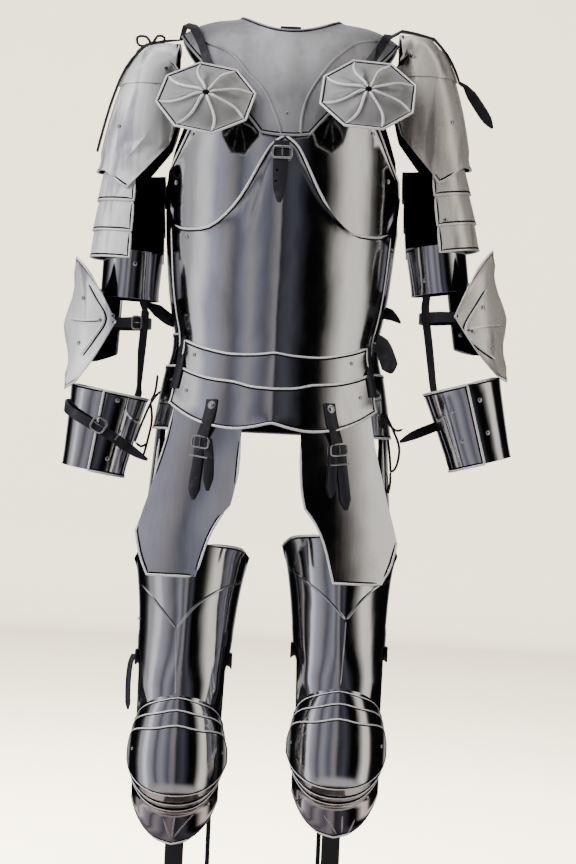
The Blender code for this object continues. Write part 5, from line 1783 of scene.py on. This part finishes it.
@dataclass
class Leg(Limb):
    """Cuisse, knee plates, demi-greave, the thigh strap and its loose ends."""

    plates: tuple[str, ...] = ("knee_lame_1", "knee_lame_2", "poleyn", "knee_lame_3", "knee_lame_4", "demi_greave")

    def build(self) -> None:
        """Makes the plates and their trim."""
        word = self.side.word
        self.work.remade(f"cuisse_{word}", turned=Turned(0.15, 0.15))
        for plate in self.plates[:3]:
            self.work.remade(f"{plate}_{word}", bead=1.35 * MM, turned=Turned(0.30, 1.0), groove=0.9 * MM)
        # The plates below the knee cap take the painted reflection of the floor.
        for plate in self.plates[3:]:
            self.work.remade(f"{plate}_{word}", "low_steel", bead=1.35 * MM, turned=Turned(0.30, 2.0), groove=0.9 * MM)
        self.work.strap(f"cuisse_strap_{word}")
        self.chevron()
        self.greave_ridges()
        self.rivets()
        self.loose_ends()

    def chevron(self) -> None:
        """Makes the raised V across the cuisse and the ridge below it."""
        lines = {
            Side.RIGHT: [[(-172, 741), (-151, 719), (-134, 699), (-118, 680)],
                         [(-116, 680), (-93, 710), (-65, 731), (-28, 748)],
                         [(-117, 677), (-116, 640), (-114, 585)]],
            Side.LEFT: [[(29, 771), (56, 752), (84, 730), (112, 702)],
                        [(114, 702), (136, 732), (160, 752), (176, 760)],
                        [(113, 699), (112, 660), (110, 612)]],
        }
        radii = (2.0 * MM, 2.0 * MM, 0.9 * MM)
        word = self.side.word
        self.trim.raised_lines(f"cuisse_chevron_{word}", f"cuisse_{word}", lines[self.side], radii, 0.9,
                               "polished_steel")

    def greave_ridges(self) -> None:
        """Makes the low ridges that fan up from the bottom plate's point."""
        lines = {
            Side.RIGHT: [[(-112, 392), (-117, 404), (-122, 418)], [(-107, 394), (-96, 410), (-82, 427)],
                         [(-110, 392), (-109, 408), (-107, 424)]],
            Side.LEFT: [[(118, 402), (108, 418), (96, 434)], [(125, 402), (132, 416), (138, 430)],
                        [(121, 402), (121, 417), (121, 434)]],
        }
        word = self.side.word
        self.trim.raised_lines(f"greave_ridges_{word}", f"demi_greave_{word}", lines[self.side], (1.1 * MM,), 0.8,
                               "polished_steel")

    def rivets(self) -> None:
        """Sets the rivets at the plates' sides."""
        word = self.side.word
        shift = -108 if self.side is Side.RIGHT else 108
        rise = -9.5 if self.side is Side.RIGHT else 9.5
        for plate, height, across in (("knee_lame_1", 567, 60), ("knee_lame_2", 548, 62), ("poleyn", 522, 62),
                                      ("knee_lame_3", 486, 60), ("knee_lame_4", 472, 57), ("demi_greave", 452, 46)):
            node = f"{plate}_{word}"
            marks = [(shift - across, height + rise), (shift + across, height + rise)]
            self.trim.rivets(f"{node}_rivets", node, marks, 2.4 * MM)
        marks = {Side.RIGHT: [(-168, 690), (-42, 600)], Side.LEFT: [(32, 690), (172, 700), (48, 608)]}
        self.trim.rivets(f"cuisse_{word}_rivets", f"cuisse_{word}", marks[self.side], 2.8 * MM)
        foot = {Side.RIGHT: [(-75, 393)], Side.LEFT: [(140, 405)]}
        self.trim.rivets(f"greave_foot_{word}_rivet", f"demi_greave_{word}", foot[self.side], 2.4 * MM)

    def loose_ends(self) -> None:
        """Makes the thigh strap's free end beside the knee and the thong that hangs from it."""
        word = self.side.word
        strap = f"cuisse_strap_{word}"
        if self.side is Side.RIGHT:
            end = [(-0.1722, 0.004, 0.640), (-0.1765, 0.000, 0.628), (-0.1780, -0.004, 0.600), (-0.1765, -0.006, 0.566)]
            self.trim.loose("thigh_strap_end_right", strap, [Vector(p) for p in end], 13 * MM,
                            Vector((-0.85, -0.55, 0)), 2.4 * MM, tip=2)
            thong = [(-0.0640, 0.0620, 0.640), (-0.0632, 0.0630, 0.560), (-0.0625, 0.0615, 0.430),
                     (-0.0618, 0.0625, 0.300)]
        else:
            thong = [(0.0900, 0.0700, 0.655), (0.0905, 0.0705, 0.560), (0.0910, 0.0690, 0.430), (0.0915, 0.0700, 0.300)]
        self.trim.loose(f"hanging_thong_{word}", strap, [Vector(p) for p in thong], 6.5 * MM, Vector((0.2, -1, 0)),
                        1.8 * MM, tip=2)


@dataclass
class Stand:
    """The black floor stand, with feet under its base and bolts through it."""

    trim: Trim

    def build(self) -> None:
        """Gives the stand its coat and adds its bolts."""
        shop = self.trim.shop
        for name in ("stand_legs", "stand_frame"):
            node = shop.frame["nodes"][name]
            node.data.materials.clear()
            node.data.materials.append(shop.materials["stand_coat"])
            edge = node.modifiers.new("softened edges", "BEVEL")
            edge.width = 0.9 * MM
            edge.segments = 2
            edge.limit_method = "ANGLE"
            edge.angle_limit = math.radians(40)
        maker = MeshMaker()
        for hand in (-1, 1):
            for x, y in ((0.030, 0.0), (-0.030, 0.0), (0.0, 0.030)):
                spot = Spot(Vector((hand * 0.108 + x, 0.052 + y, 0.008)), Vector((0, 0, 1)))
                maker.dome(spot, 5.5 * MM, 3.2 * MM, 8.0 * MM)
        shop.put(maker, "base_bolts", "stand_coat", "stand_legs")


def main() -> None:
    """Builds the suit in order."""
    logging.basicConfig(level=logging.INFO, format="%(name)s %(message)s")
    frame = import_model()
    studio = Studio()
    studio.camera()
    studio.room()
    studio.air()
    studio.lights()
    shop = Shop(frame)
    work = PlateWork(shop)
    trim = Trim(shop)
    Stand(trim).build()
    Torso(trim, work).build()
    Collar(trim, work).build()
    Skirt(trim, work).build()
    for side in Side:
        Shoulder(trim, work, side).build()
        Arm(trim, work, side).build()
        Leg(trim, work, side).build()


if __name__ == "__main__":
    main()
